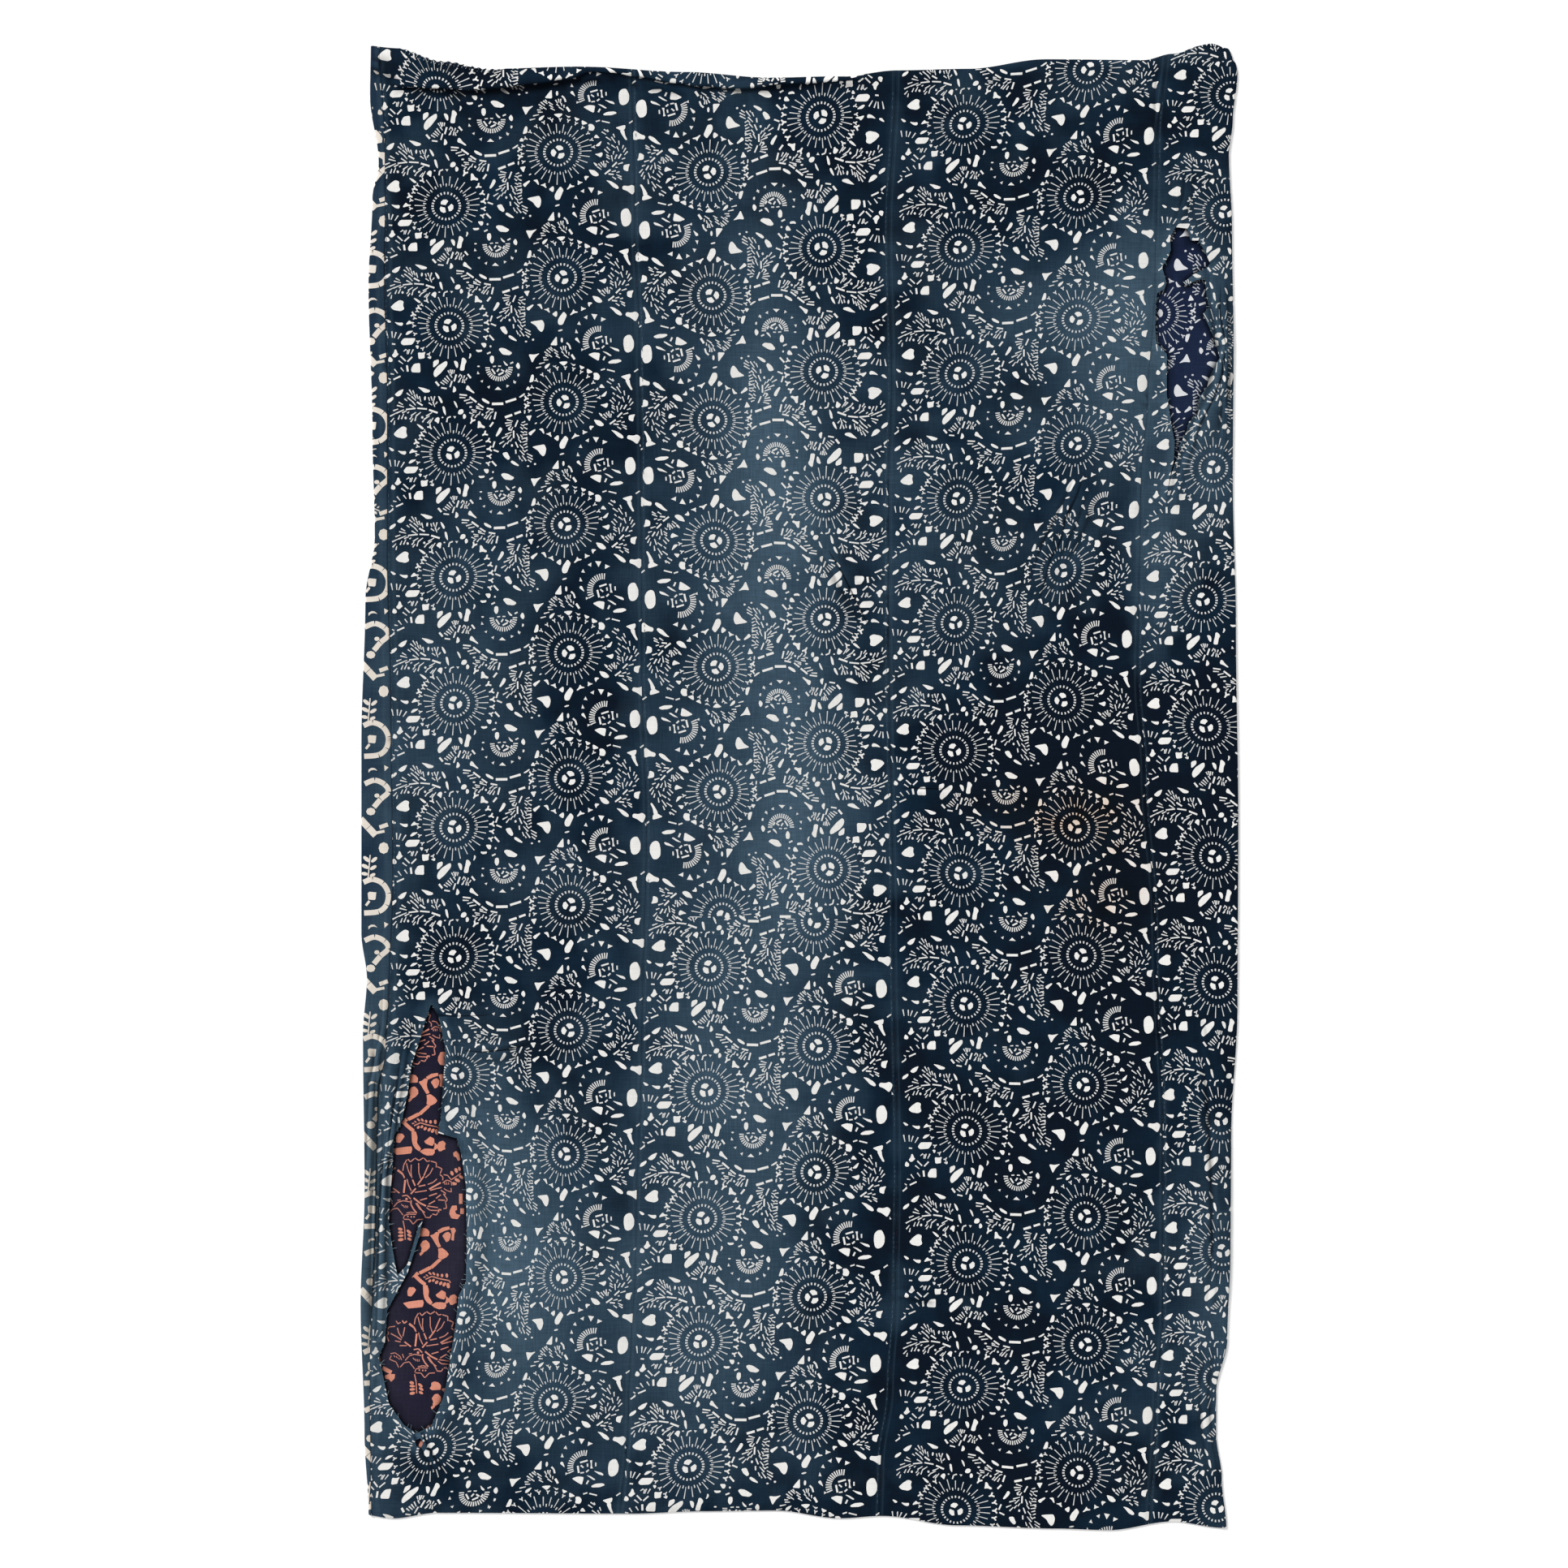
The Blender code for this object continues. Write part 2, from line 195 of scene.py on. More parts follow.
def columns(*arrays: Array) -> Array:
    """Set arrays beside each other, as the columns of one."""
    return np.stack(arrays, axis=1)


def fading(away: Array, reach: float) -> Array:
    """Fade smoothly from 1 on a line, through about a third at its reach, to nothing."""
    return np.exp(-((away / reach) ** 2))


def bent(bends: Bends, at: Any) -> Array:
    """Read an edge or seam at places along it, on a smooth curve through its bends.

    Args:
        bends: The edge's or seam's bends, in order.
        at: One place or an array of them.

    Returns:
        The offsets there.
    """
    ats, offsets = np.array(bends, dtype=float).T
    after = np.clip(np.searchsorted(ats, at, side="right"), 1, len(bends) - 1)
    share = np.clip((at - ats[after - 1]) / (ats[after] - ats[after - 1]), 0.0, 1.0)
    eased = share * share * (3 - 2 * share)
    return offsets[after - 1] + (offsets[after] - offsets[after - 1]) * eased


def nearest_on(line: Sequence[Spot], places: Array) -> tuple[Array, ...]:
    """Measure places against a line.

    Args:
        line: The line's points.
        places: An array of (across, along).

    Returns:
        Each place's distance, its side (left of the line is positive) and the share along it.
    """
    points = np.array(line, dtype=float)
    steps = points[1:] - points[:-1]
    lengths = np.linalg.norm(steps, axis=1)
    whole = lengths.sum()
    distance = np.full(len(places), np.inf)
    side = np.ones(len(places))
    share = np.zeros(len(places))
    passed = 0.0
    for start, step, length in zip(points, steps, lengths):
        part = np.clip(((places - start) @ step) / length ** 2, 0.0, 1.0)
        away = places - (start + part[:, None] * step)
        far = np.linalg.norm(away, axis=1)
        nearer = far < distance
        distance = np.where(nearer, far, distance)
        turn = np.sign(step[0] * away[:, 1] - step[1] * away[:, 0])
        side = np.where(nearer, turn, side)
        share = np.where(nearer, (passed + part * length) / whole, share)
        passed += length
    return distance, side, share


def ridge_height(ridge: Ridge, places: Array) -> Array:
    """Find how much a ridge lifts the cloth at places. It fades out at both ends.

    Args:
        ridge: The ridge's course, height and reach to each side.
        places: Places on the cover, as (across, along) in millimetres.

    Returns:
        The lift at each place, in millimetres.
    """
    distance, side, share = nearest_on(pairs(*ridge.line), places)
    reach = np.where(side > 0, ridge.left, ridge.right)
    across = 0.5 + 0.5 * np.cos(np.pi * np.minimum(distance / reach, 1.0))
    return ridge.height * across * (0.25 + 0.75 * np.sin(np.pi * share))


def patches(table: Sequence[Patch], places: Array) -> Array:
    """Add up a table's soft patches at places, at most 1 in all.

    Args:
        table: The patches, each with its middle, size and strength.
        places: Places on the cover, as (across, along) in millimetres.

    Returns:
        The strength at each place, from 0 to 1.
    """
    total = np.zeros(len(places))
    for patch in table:
        away = ((places[:, 0] - patch.across) / patch.wide) ** 2
        away += ((places[:, 1] - patch.along) / patch.tall) ** 2
        total += patch.strength * np.exp(-away)
    return np.clip(total, 0.0, 1.0)


def hashed(places: Array, pitch: float, seed: int) -> Array:
    """Smooth noise from -1 to 1 at places, whose bumps are a pitch apart.

    Args:
        places: An array of (across, along).
        pitch: The size of the bumps, in millimetres.
        seed: Chooses one noise.

    Returns:
        The noise at each place.
    """
    grid = places / pitch
    cell = np.floor(grid).astype(np.int64)
    part = grid - cell
    part = part * part * (3 - 2 * part)

    def corner(dx: int, dy: int) -> Array:
        """Give the value at a corner of each place's cell.

        Args:
            dx: 0 for the cell's near side across, 1 for its far side.
            dy: The same along.

        Returns:
            A number from -1 to 1 for each place.
        """
        # Large odd numbers, which scatter the cells' numbers as a hash does
        mixed = (cell[:, 0] + dx) * 374761393 + (cell[:, 1] + dy) * 668265263 + seed * 974711
        mixed = (mixed ^ (mixed >> 13)) * 1274126177
        return ((mixed ^ (mixed >> 16)) & 0xFFFF) / 32767.5 - 1.0

    low = corner(0, 0) * (1 - part[:, 0]) + corner(1, 0) * part[:, 0]
    high = corner(0, 1) * (1 - part[:, 0]) + corner(1, 1) * part[:, 0]
    return low * (1 - part[:, 1]) + high * part[:, 1]


class Tuck:
    """The cloth's own fold along the top edge: it runs under itself and back out again.

    Along the tuck's line the front is folded double, so a part of the print is hidden there.
    """

    LINE = pairs(
        36, 1837, 52, 1831, 98, 1829, 141, 1827, 184, 1830, 218, 1835, 264, 1841, 293, 1850, 320, 1849,
        351, 1844, 401, 1836, 430, 1832, 479, 1829, 552, 1835, 650, 1841,
    )
    DEPTH = pairs(
        36, 0, 60, 4, 98, 8.5, 184, 7, 264, 5, 293, 2.5, 351, 3, 430, 3.5, 552, 3, 620, 1, 650, 0,
    )
    # Along the cloth from the line, as a share of the depth and as millimetres past it, then
    # where it lies beside the line, in the same two parts, and its height
    PROFILE = (
        (0.0, -7.0, 0.0, -7.0, 0.0), (0.0, 0.0, 0.0, 0.0, 0.0), (1.0, -0.8, 1.0, -0.8, 0.1),
        (1.0, 0.0, 1.0, -0.1, 0.55), (1.0, 0.8, 1.0, -0.8, 1.0), (2.0, -1.4, 0.0, 0.8, 1.3),
        (2.0, 0.0, 0.0, -0.6, 2.0), (2.0, 1.6, 0.0, 0.2, 3.0), (2.0, 5.0, 0.0, 3.8, 3.3),
        (2.0, 12.0, 0.0, 11.5, 1.5), (2.0, 20.0, 0.0, 20.0, 0.0),
    )

    # Lines that edges of the cloth follow, by the same share and millimetres past the line
    FOLDS = ((0, -7.0), (0, -3.0), (0, 0.0), (1, -0.8), (1, 0.0), (1, 0.8), (2, -1.4), (2, 0.0),
             (2, 1.6), (2, 3.2), (2, 6.0), (2, 10.0))

    @classmethod
    def depth(cls, across: Array) -> Array:
        """Find how deep the tuck is at places across the cover."""
        return bent(cls.DEPTH, across)

    @classmethod
    def fold(cls, across: Array, flat: Array) -> tuple[Array, Array]:
        """Fold the flat cloth into the tuck.

        Args:
            across: Places across the cover.
            flat: How far up the flat cloth each place is.

        Returns:
            How far up the cover each place lies, and how much the tuck lifts it.
        """
        line, depth = bent(cls.LINE, across), cls.depth(across)
        keep = np.clip(depth / 2.0, 0.0, 1.0)
        past = flat - line
        along = np.where(past > 0, flat - 2 * depth, flat)
        lift = np.zeros(len(flat))
        for low, high in zip(cls.PROFILE, cls.PROFILE[1:]):
            start = low[0] * depth + low[1]
            end = high[0] * depth + high[1]
            inside = (past >= start) & (past < end) & (depth > 0.3)
            share = np.where(inside, (past - start) / np.maximum(end - start, 0.01), 0.0)
            lies = (low[2] * depth + low[3]) * (1 - share) + (high[2] * depth + high[3]) * share
            along = np.where(inside, line + lies, along)
            lift = np.where(inside, (low[4] * (1 - share) + high[4] * share) * keep, lift)
        return along, lift


class Lie:
    """How the cover lies: its outline, its front's height and its folds at the sides."""

    CREASES = (
        Ridge("dark crease along the stains", -1.1, 1.2, 1.6,
              (686, 941, 700, 941.5, 720, 940.5, 742, 940)),
        Ridge("rise below it", 1.2, 3, 9, (684, 936, 712, 937, 742, 936)),
        Ridge("short crease by the low seam", 2.0, 8, 4, (672, 300, 700, 297, 730, 293)),
        Ridge("dark fold in the middle", -1.3, 1.2, 1.5, (594, 1243, 612, 1213, 626, 1185, 642, 1153)),
        Ridge("rise beside it", 1.2, 2.5, 7, (592, 1238, 618, 1192, 638, 1154)),
        Ridge("crease off the left tear's top", -1.0, 1.2, 1.4,
              (94, 653.5, 120, 652, 150, 652.5, 168, 654)),
        Ridge("crease off the left tear's side", -1.4, 1.3, 1.8,
              (134, 608, 155, 606.7, 185, 609.4, 214, 616)),
        Ridge("rise over it", 1.4, 9, 2, (130, 612, 155, 611, 185, 614, 214, 620)),
        Ridge("slanting dark fold", -1.0, 2.0, 2.4,
              (918, 1338, 908, 1310, 895, 1284, 889, 1255, 876, 1233, 866, 1195, 854, 1160)),
        Ridge("dark fold down the right band", -1.2, 1.8, 2.4,
              (1100, 1560, 1101, 1490, 1098, 1420, 1092, 1350)),
        Ridge("dark pleat by the left tear", -1.3, 1.2, 1.6,
              (42, 565, 34, 509, 28, 453, 24, 397, 23, 340)),
        Ridge("dark pleat by its rim", -1.1, 1.0, 1.4, (55, 604, 46, 556, 37, 500, 33, 440, 30, 380)),
        Ridge("dark fold beside the roll", -1.4, 1.4, 1.8,
              (1092, 1582, 1090, 1545, 1098, 1503, 1094, 1466, 1080, 1430, 1064, 1400)),
        Ridge("first pleat beside the left tear", 2.3, 4, 5,
              (20, 640, 24, 520, 19, 400, 17, 300, 15, 180)),
        Ridge("pleat on the strip", 1.8, 3, 4, (33, 700, 30, 640, 14, 560, 11, 470, 8, 390)),
        Ridge("second pleat beside the left tear", 2.2, 4, 5,
              (40, 560, 32, 470, 28, 380, 27, 320, 24, 240)),
        Ridge("third pleat beside the left tear", 2.0, 3, 4,
              (62, 640, 54, 590, 47, 545, 40, 500, 31, 455)),
        Ridge("pleat under the left tear", 1.8, 4, 6, (74, 122, 86, 96, 108, 66)),
        Ridge("left pleat of the slanting pucker", 2.2, 8, 5,
              (908, 1330, 892, 1294, 868, 1246, 850, 1190)),
        Ridge("right pleat of the slanting pucker", 1.6, 6, 6, (930, 1318, 912, 1270, 890, 1226)),
        Ridge("pleat above the right tear", 1.6, 5, 7, (1036, 1658, 1048, 1690, 1052, 1730)),
        Ridge("roll beside the right tear", 2.4, 5, 8,
              (1080, 1598, 1082, 1560, 1094, 1500, 1084, 1450, 1062, 1404, 1046, 1360, 1032, 1300)),
        Ridge("pleat right of the right tear", 2.0, 4, 5,
              (1094, 1590, 1099, 1500, 1097, 1420, 1090, 1330)),
        Ridge("long pleat down the right", 2.2, 5, 6,
              (1066, 640, 1078, 560, 1084, 460, 1086, 360, 1078, 280)),
        Ridge("low pleat at the right", 1.6, 5, 6, (1078, 240, 1070, 180, 1074, 120, 1084, 60)),
        Ridge("pleat off the corner", 2.2, 6, 4, (6, 1864, 24, 1856, 50, 1845)),
        Ridge("pleat at the right seam's top", 1.5, 6, 5, (1018, 1868, 1012, 1820, 1014, 1770)),
    )
    # The gathers: from where to where the top edge is drawn in, how far down the cloth they reach,
    # over what length they fade out at both ends, how high they rise, and how far apart they are
    RUFFLE = (46.0, 186.0)
    RUFFLE_DEEP = 26.0
    RUFFLE_FADE = 14
    RUFFLE_HIGH = 2.6
    GATHER_PITCH = 9.2
    # Crumples of the whole front: their height, size and noise
    CRUMPLES = ((0.16, 34.0, 5), (0.08, 13.0, 9))
    # A seam's stitched groove and its puckers: how deep or high, and how far they reach from it
    GROOVE = (0.2, 1.5)
    PUCKERS = (0.22, 11.0)
    PUCKER_PITCH = 17.0
    # How far the turned edges roll down to the floor
    TURNED_REACH = 3.0
    # How dark the painted shade in a hollow of 1 mm is, and the most that it can be
    HOLLOW_SHADE = 1.3
    DARKEST_HOLLOW = 0.72
    # The painted shade in the deep fold along the strip's seam: from where to where, how dark and how
    # wide
    DEEP_FOLD = (230, 620)
    DEEP_FOLD_SHADE = 0.85
    DEEP_FOLD_REACH = 2.2

    @classmethod
    def gathered(cls, across: Array) -> Array:
        """Find how strongly the top edge is gathered at places across the cover."""
        left = np.clip((across - cls.RUFFLE[0]) / cls.RUFFLE_FADE, 0, 1)
        return left * np.clip((cls.RUFFLE[1] - across) / cls.RUFFLE_FADE, 0, 1)

    @classmethod
    def gathers(cls, across: Array) -> Array:
        """Give the gathers' uneven rise and fall, from 0 to 1."""
        return 0.5 + 0.5 * np.sin(2 * np.pi * across / cls.GATHER_PITCH + 0.9 * np.sin(across / 13))

    @classmethod
    def ruffles(cls, across: Array, edge: Array) -> Array:
        """Find how the gathers at the top left lift the cloth, at a distance from the edge."""
        fade = np.clip(1 - edge / cls.RUFFLE_DEEP, 0, 1)
        return cls.RUFFLE_HIGH * cls.gathers(across) * cls.gathered(across) * fade

    @staticmethod
    def beside(line: Sequence[Spot], step: float) -> Array:
        """Find the line at a step to the left of a line, with a point every few millimetres.

        Args:
            line: The line's points.
            step: How far to the left, in millimetres.

        Returns:
            The points of the line beside it.
        """
        points = np.array(line, dtype=float)
        lengths = np.concatenate([[0.0], np.cumsum(np.linalg.norm(np.diff(points, axis=0), axis=1))])
        at = np.linspace(0.0, lengths[-1], max(3, int(lengths[-1] / 6)))
        path = columns(*(np.interp(at, lengths, points[:, axis]) for axis in (0, 1)))
        way = np.gradient(path, axis=0)
        way /= np.linalg.norm(way, axis=1)[:, None]
        return path + step * columns(-way[:, 1], way[:, 0])

    @classmethod
    def crease_lines(cls, low: float, high: float) -> list[Array]:
        """Give lines of points over each crease that lies between two places across.

        Args:
            low: The first place across.
            high: The last place across.

        Returns:
            Five lines of points for each crease.
        """
        found = []
        for crease in cls.CREASES:
            line, across = pairs(*crease.line), crease.line[::2]
            if min(across) < low or max(across) > high:
                continue
            reaches = (-crease.right, -crease.right / 2, 0.0, crease.left / 2, crease.left)
            found += [cls.beside(line, reach) for reach in reaches]
        return found

    @classmethod
    def front_height(cls, across: Array, along: Array) -> Array:
        """Find the height of the middle of the front's cloth above what the cover lies on.

        Args:
            across: How far across the cover each place is.
            along: How far along the cover each place is.

        Returns:
            The height at each place, in millimetres.
        """
        places = columns(across, along)
        rise = np.full(len(places), SEAM_DIP)
        for wave in WAVES:
            turn = 2 * np.pi * (across / wave.across + along / wave.along)
            rise += wave.height * (1 + np.sin(turn + wave.phase))
        rise += np.max([ridge_height(ridge, places) for ridge in RIDGES], axis=0)
        gaps = [np.abs(across - bent(seam, along)) for seam in (LEFT_SEAM, MIDDLE_SEAM, RIGHT_SEAM)]
        gap = np.min(gaps, axis=0)
        rise -= SEAM_DIP * fading(gap, SEAM_DIP_REACH)
        return SOLID_CLOTH + LAYER_GAP + SOLID_CLOTH / 2 + rise

    @classmethod
    def creased_height(cls, across: Array, along: Array) -> Array:
        """Add the creases to the front's height.

        Args:
            across: How far across the cover each place is.
            along: How far along the cover each place is.

        Returns:
            The height at each place, in millimetres.
        """
        places = columns(across, along)
        creases = [ridge_height(crease, places) for crease in cls.CREASES]
        return cls.front_height(across, along) + np.sum(creases, axis=0)

    @classmethod
    def hollow(cls, places: Array, reach: float = 4.5) -> Array:
        """Find how deep places lie below the cloth round them, in millimetres.

        Args:
            places: Places on the cover, as (across, along) in millimetres.
            reach: How far round each place to look.

        Returns:
            The depth at each place, below 0 on a ridge.
        """
        across, along = places[:, 0], places[:, 1]
        around = [cls.creased_height(across + dx, along + dy)
                  for dx, dy in ((reach, 0), (-reach, 0), (0, reach), (0, -reach))]
        return np.mean(around, axis=0) - cls.creased_height(across, along)

    @classmethod
    def painted_fold_shade(cls, places: Array) -> Array:
        """Find the painted shade in the creases and in the deep fold along the strip's seam.

        Args:
            places: Places on the cover, as (across, along) in millimetres.

        Returns:
            The painted shade at each place, 0 where the cloth lies open.
        """
        gap = np.abs(places[:, 0] - bent(STRIP_SEAM, places[:, 1]))
        low, high = cls.DEEP_FOLD
        beside = np.clip((places[:, 1] - low) / 60, 0, 1) * np.clip((high - places[:, 1]) / 50, 0, 1)
        deep = cls.DEEP_FOLD_SHADE * fading(gap, cls.DEEP_FOLD_REACH) * beside
        hollow = np.clip(cls.hollow(places) * cls.HOLLOW_SHADE, 0.0, cls.DARKEST_HOLLOW)
        return np.maximum(hollow, deep)

    @classmethod
    def dressed_height(cls, across: Array, along: Array) -> Array:
        """Add the fine relief that the cloth shows: creases, sewn valleys and turned edges.

        Args:
            across: How far across the cover each place is.
            along: How far along the cover each place is.

        Returns:
            The height at each place, in millimetres.
        """
        places = columns(across, along)
        height = cls.creased_height(across, along)
        height += cls.ruffles(across, bent(TOP_EDGE, across) - along)
        height += sum(high * hashed(places, size, seed) for high, size, seed in cls.CRUMPLES)
        seams = (STRIP_SEAM, LEFT_SEAM, MIDDLE_SEAM, RIGHT_SEAM)
        gap = np.min([np.abs(across - bent(seam, along)) for seam in seams], axis=0)
        height -= cls.GROOVE[0] * fading(gap, cls.GROOVE[1])
        puckers = np.sin(along * 2 * np.pi / cls.PUCKER_PITCH + 2.0 * hashed(places, 60.0, 3))
        height += cls.PUCKERS[0] * puckers * fading(gap, cls.PUCKERS[1])
        edge = np.minimum(along - bent(BOTTOM_EDGE, across), bent(TOP_EDGE, across) - along)
        turned = fading(np.maximum(edge, 0.0), cls.TURNED_REACH)
        floor = SOLID_CLOTH + LAYER_GAP + CLOTH / 2
        return np.maximum(height * (1 - turned) + floor * turned, floor)

    @classmethod
    def side_fold(cls, edge: Bends, along: Array, inward: int) -> tuple[Array, Array]:
        """Find the middle and the radius of the round fold at a side edge.

        Args:
            edge: The cover's side edge.
            along: How far along the cover each place is.
            inward: 1 where the cover lies to the right of the edge, -1 to the left.

        Returns:
            The fold's middle across and its radius, at each place.
        """
        outermost = bent(edge, along) + inward * SOLID_CLOTH / 2
        height = cls.front_height(outermost + inward * SOLID_CLOTH, along)
        radius = (height - SOLID_CLOTH / 2) / 2
        return outermost + inward * radius, radius


def to_frame(places: Array) -> Array:
    """Turn (across, along, height) in millimetres to the frame's metres."""
    return (places - np.array([COVER_WIDTH / 2, COVER_LENGTH / 2, 0.0])) * MM


class Kind(Enum):
    """The plain forms that the stencil's marks are cut in, as corners in a unit square."""

    LENS = ((-0.5, 0), (-0.36, 0.36), (0, 0.5), (0.36, 0.36), (0.5, 0), (0.36, -0.36),
            (0, -0.5), (-0.36, -0.36))
    STAR = ((-0.5, 0.11), (-0.5, -0.11), (-0.04, -0.18), (0.3, -0.5), (0.5, -0.34),
            (0.2, 0), (0.5, 0.34), (0.3, 0.5), (-0.04, 0.18))
    TRIANGLE = ((-0.5, -0.5), (0.5, -0.4), (0.02, 0.5))
    SLAB = ((-0.5, -0.32), (-0.3, -0.5), (0.5, -0.42), (0.42, 0.36), (0.3, 0.5), (-0.42, 0.44))
    WEDGE = ((-0.5, -0.08), (0.3, -0.5), (0.5, -0.3), (0.5, 0.3), (0.32, 0.5), (-0.5, 0.08))
    BONE = ((-0.5, -0.5), (-0.1, -0.22), (0.2, -0.2), (0.5, -0.5), (0.46, 0.5), (0.1, 0.24),
            (-0.2, 0.22), (-0.5, 0.46))
    BOAT = ((-0.5, -0.4), (-0.15, -0.05), (0.2, -0.05), (0.5, -0.5), (0.44, 0.2), (0.1, 0.5),
            (-0.25, 0.3))


class Mark(NamedTuple):
    """One mark of a chart: its form, middle, size and turn in degrees clockwise."""

    kind: Kind
    x: float
    y: float
    wide: float
    tall: float
    turn: float = 0.0


class Fan(NamedTuple):
    """Strokes that spread from a middle, between two radii and two angles clockwise."""

    x: float
    y: float
    near: float
    far: float
    start: float
    end: float
    count: int
    thick: float


def bar(start: Spot, end: Spot, thick: float, end_thick: Optional[float] = None) -> Shape:
    """Draw a straight bar that may taper.

    Args:
        start: The middle of its first end.
        end: The middle of its other end.
        thick: Its thickness at the start.
        end_thick: Its thickness at the end, the same if not given.

    Returns:
        Its corners.
    """
    dx, dy = end[0] - start[0], end[1] - start[1]
    length = math.hypot(dx, dy) or 1.0
    nx, ny = -dy / length / 2, dx / length / 2
    other = thick if end_thick is None else end_thick
    return [
        (start[0] + nx * thick, start[1] + ny * thick), (end[0] + nx * other, end[1] + ny * other),
        (end[0] - nx * other, end[1] - ny * other), (start[0] - nx * thick, start[1] - ny * thick),
    ]


def mark_shape(mark: Mark) -> Shape:
    """Place a mark's form at its size and turn.

    Args:
        mark: The mark's kind, place, size and turn.

    Returns:
        Its outline.
    """
    turn = math.radians(mark.turn)
    cos, sin = math.cos(turn), math.sin(turn)
    corners = [(u * mark.wide, v * mark.tall) for u, v in mark.kind.value]
    return [(mark.x + u * cos - v * sin, mark.y + u * sin + v * cos) for u, v in corners]


def mark_shapes(groups: Sequence[tuple[Kind, Sequence[tuple[float, ...]]]]) -> list[Shape]:
    """Draw a table's marks, which are grouped by their form."""
    return [mark_shape(Mark(kind, *row)) for kind, marks in groups for row in marks]


def line_shapes(line: Sequence[float], gap: float) -> list[Shape]:
    """Draw a line, its thickness and then its points, as bars with a gap between them.

    Args:
        line: The thickness, then each point's two numbers.
        gap: The gap between two bars.

    Returns:
        The bars' outlines.
    """
    thick, points = line[0], pairs(*line[1:])
    shapes = []
    for start, end in zip(points, points[1:]):
        length = math.dist(start, end)
        keep = gap / 2 / length
        a = (start[0] + (end[0] - start[0]) * keep, start[1] + (end[1] - start[1]) * keep)
        b = (end[0] - (end[0] - start[0]) * keep, end[1] - (end[1] - start[1]) * keep)
        shapes.append(bar(a, b, thick))
    return shapes


def curved_shapes(line: Sequence[float], gap: float) -> list[Shape]:
    """Draw such a line as bars that bend with the smooth curve through its points.

    Args:
        line: The thickness, then each point's two numbers.
        gap: The gap between two bars.

    Returns:
        The bars' outlines.
    """
    thick, ends = line[0], pairs(*line[1:])
    points = np.array([ends[0], *ends, ends[-1]], dtype=float)
    shapes = []
    for before, start, end, after in zip(points, points[1:], points[2:], points[3:]):
        keep = gap / 2 / math.dist(start, end)
        share = np.linspace(keep, 1 - keep, 5)[:, None]
        way_in, way_out = (end - before) / 2, (after - start) / 2
        square, cube = share ** 2, share ** 3
        path = start * (2 * cube - 3 * square + 1) + way_in * (cube - 2 * square + share)
        path += end * (3 * square - 2 * cube) + way_out * (cube - square)
        way = np.gradient(path, axis=0)
        off = columns(-way[:, 1], way[:, 0]) / np.linalg.norm(way, axis=1)[:, None]
        sides = np.vstack([path + off * thick / 2, (path - off * thick / 2)[::-1]])
        shapes.append([tuple(corner) for corner in sides])
    return shapes


def fan_shapes(fan: Fan) -> list[Shape]:
    """Draw the strokes of a fan, each a little thicker at its outer end.

    Args:
        fan: The fan's middle, reach, turn and strokes.

    Returns:
        The strokes' outlines.
    """
    shapes = []
    for i in range(fan.count):
        turn = math.radians(fan.start + (fan.end - fan.start) * (i + 0.5) / fan.count)
        cos, sin = math.cos(turn), math.sin(turn)
        shapes.append(bar((fan.x + cos * fan.near, fan.y + sin * fan.near),
                          (fan.x + cos * fan.far, fan.y + sin * fan.far),
                          fan.thick * 0.8, fan.thick))
    return shapes


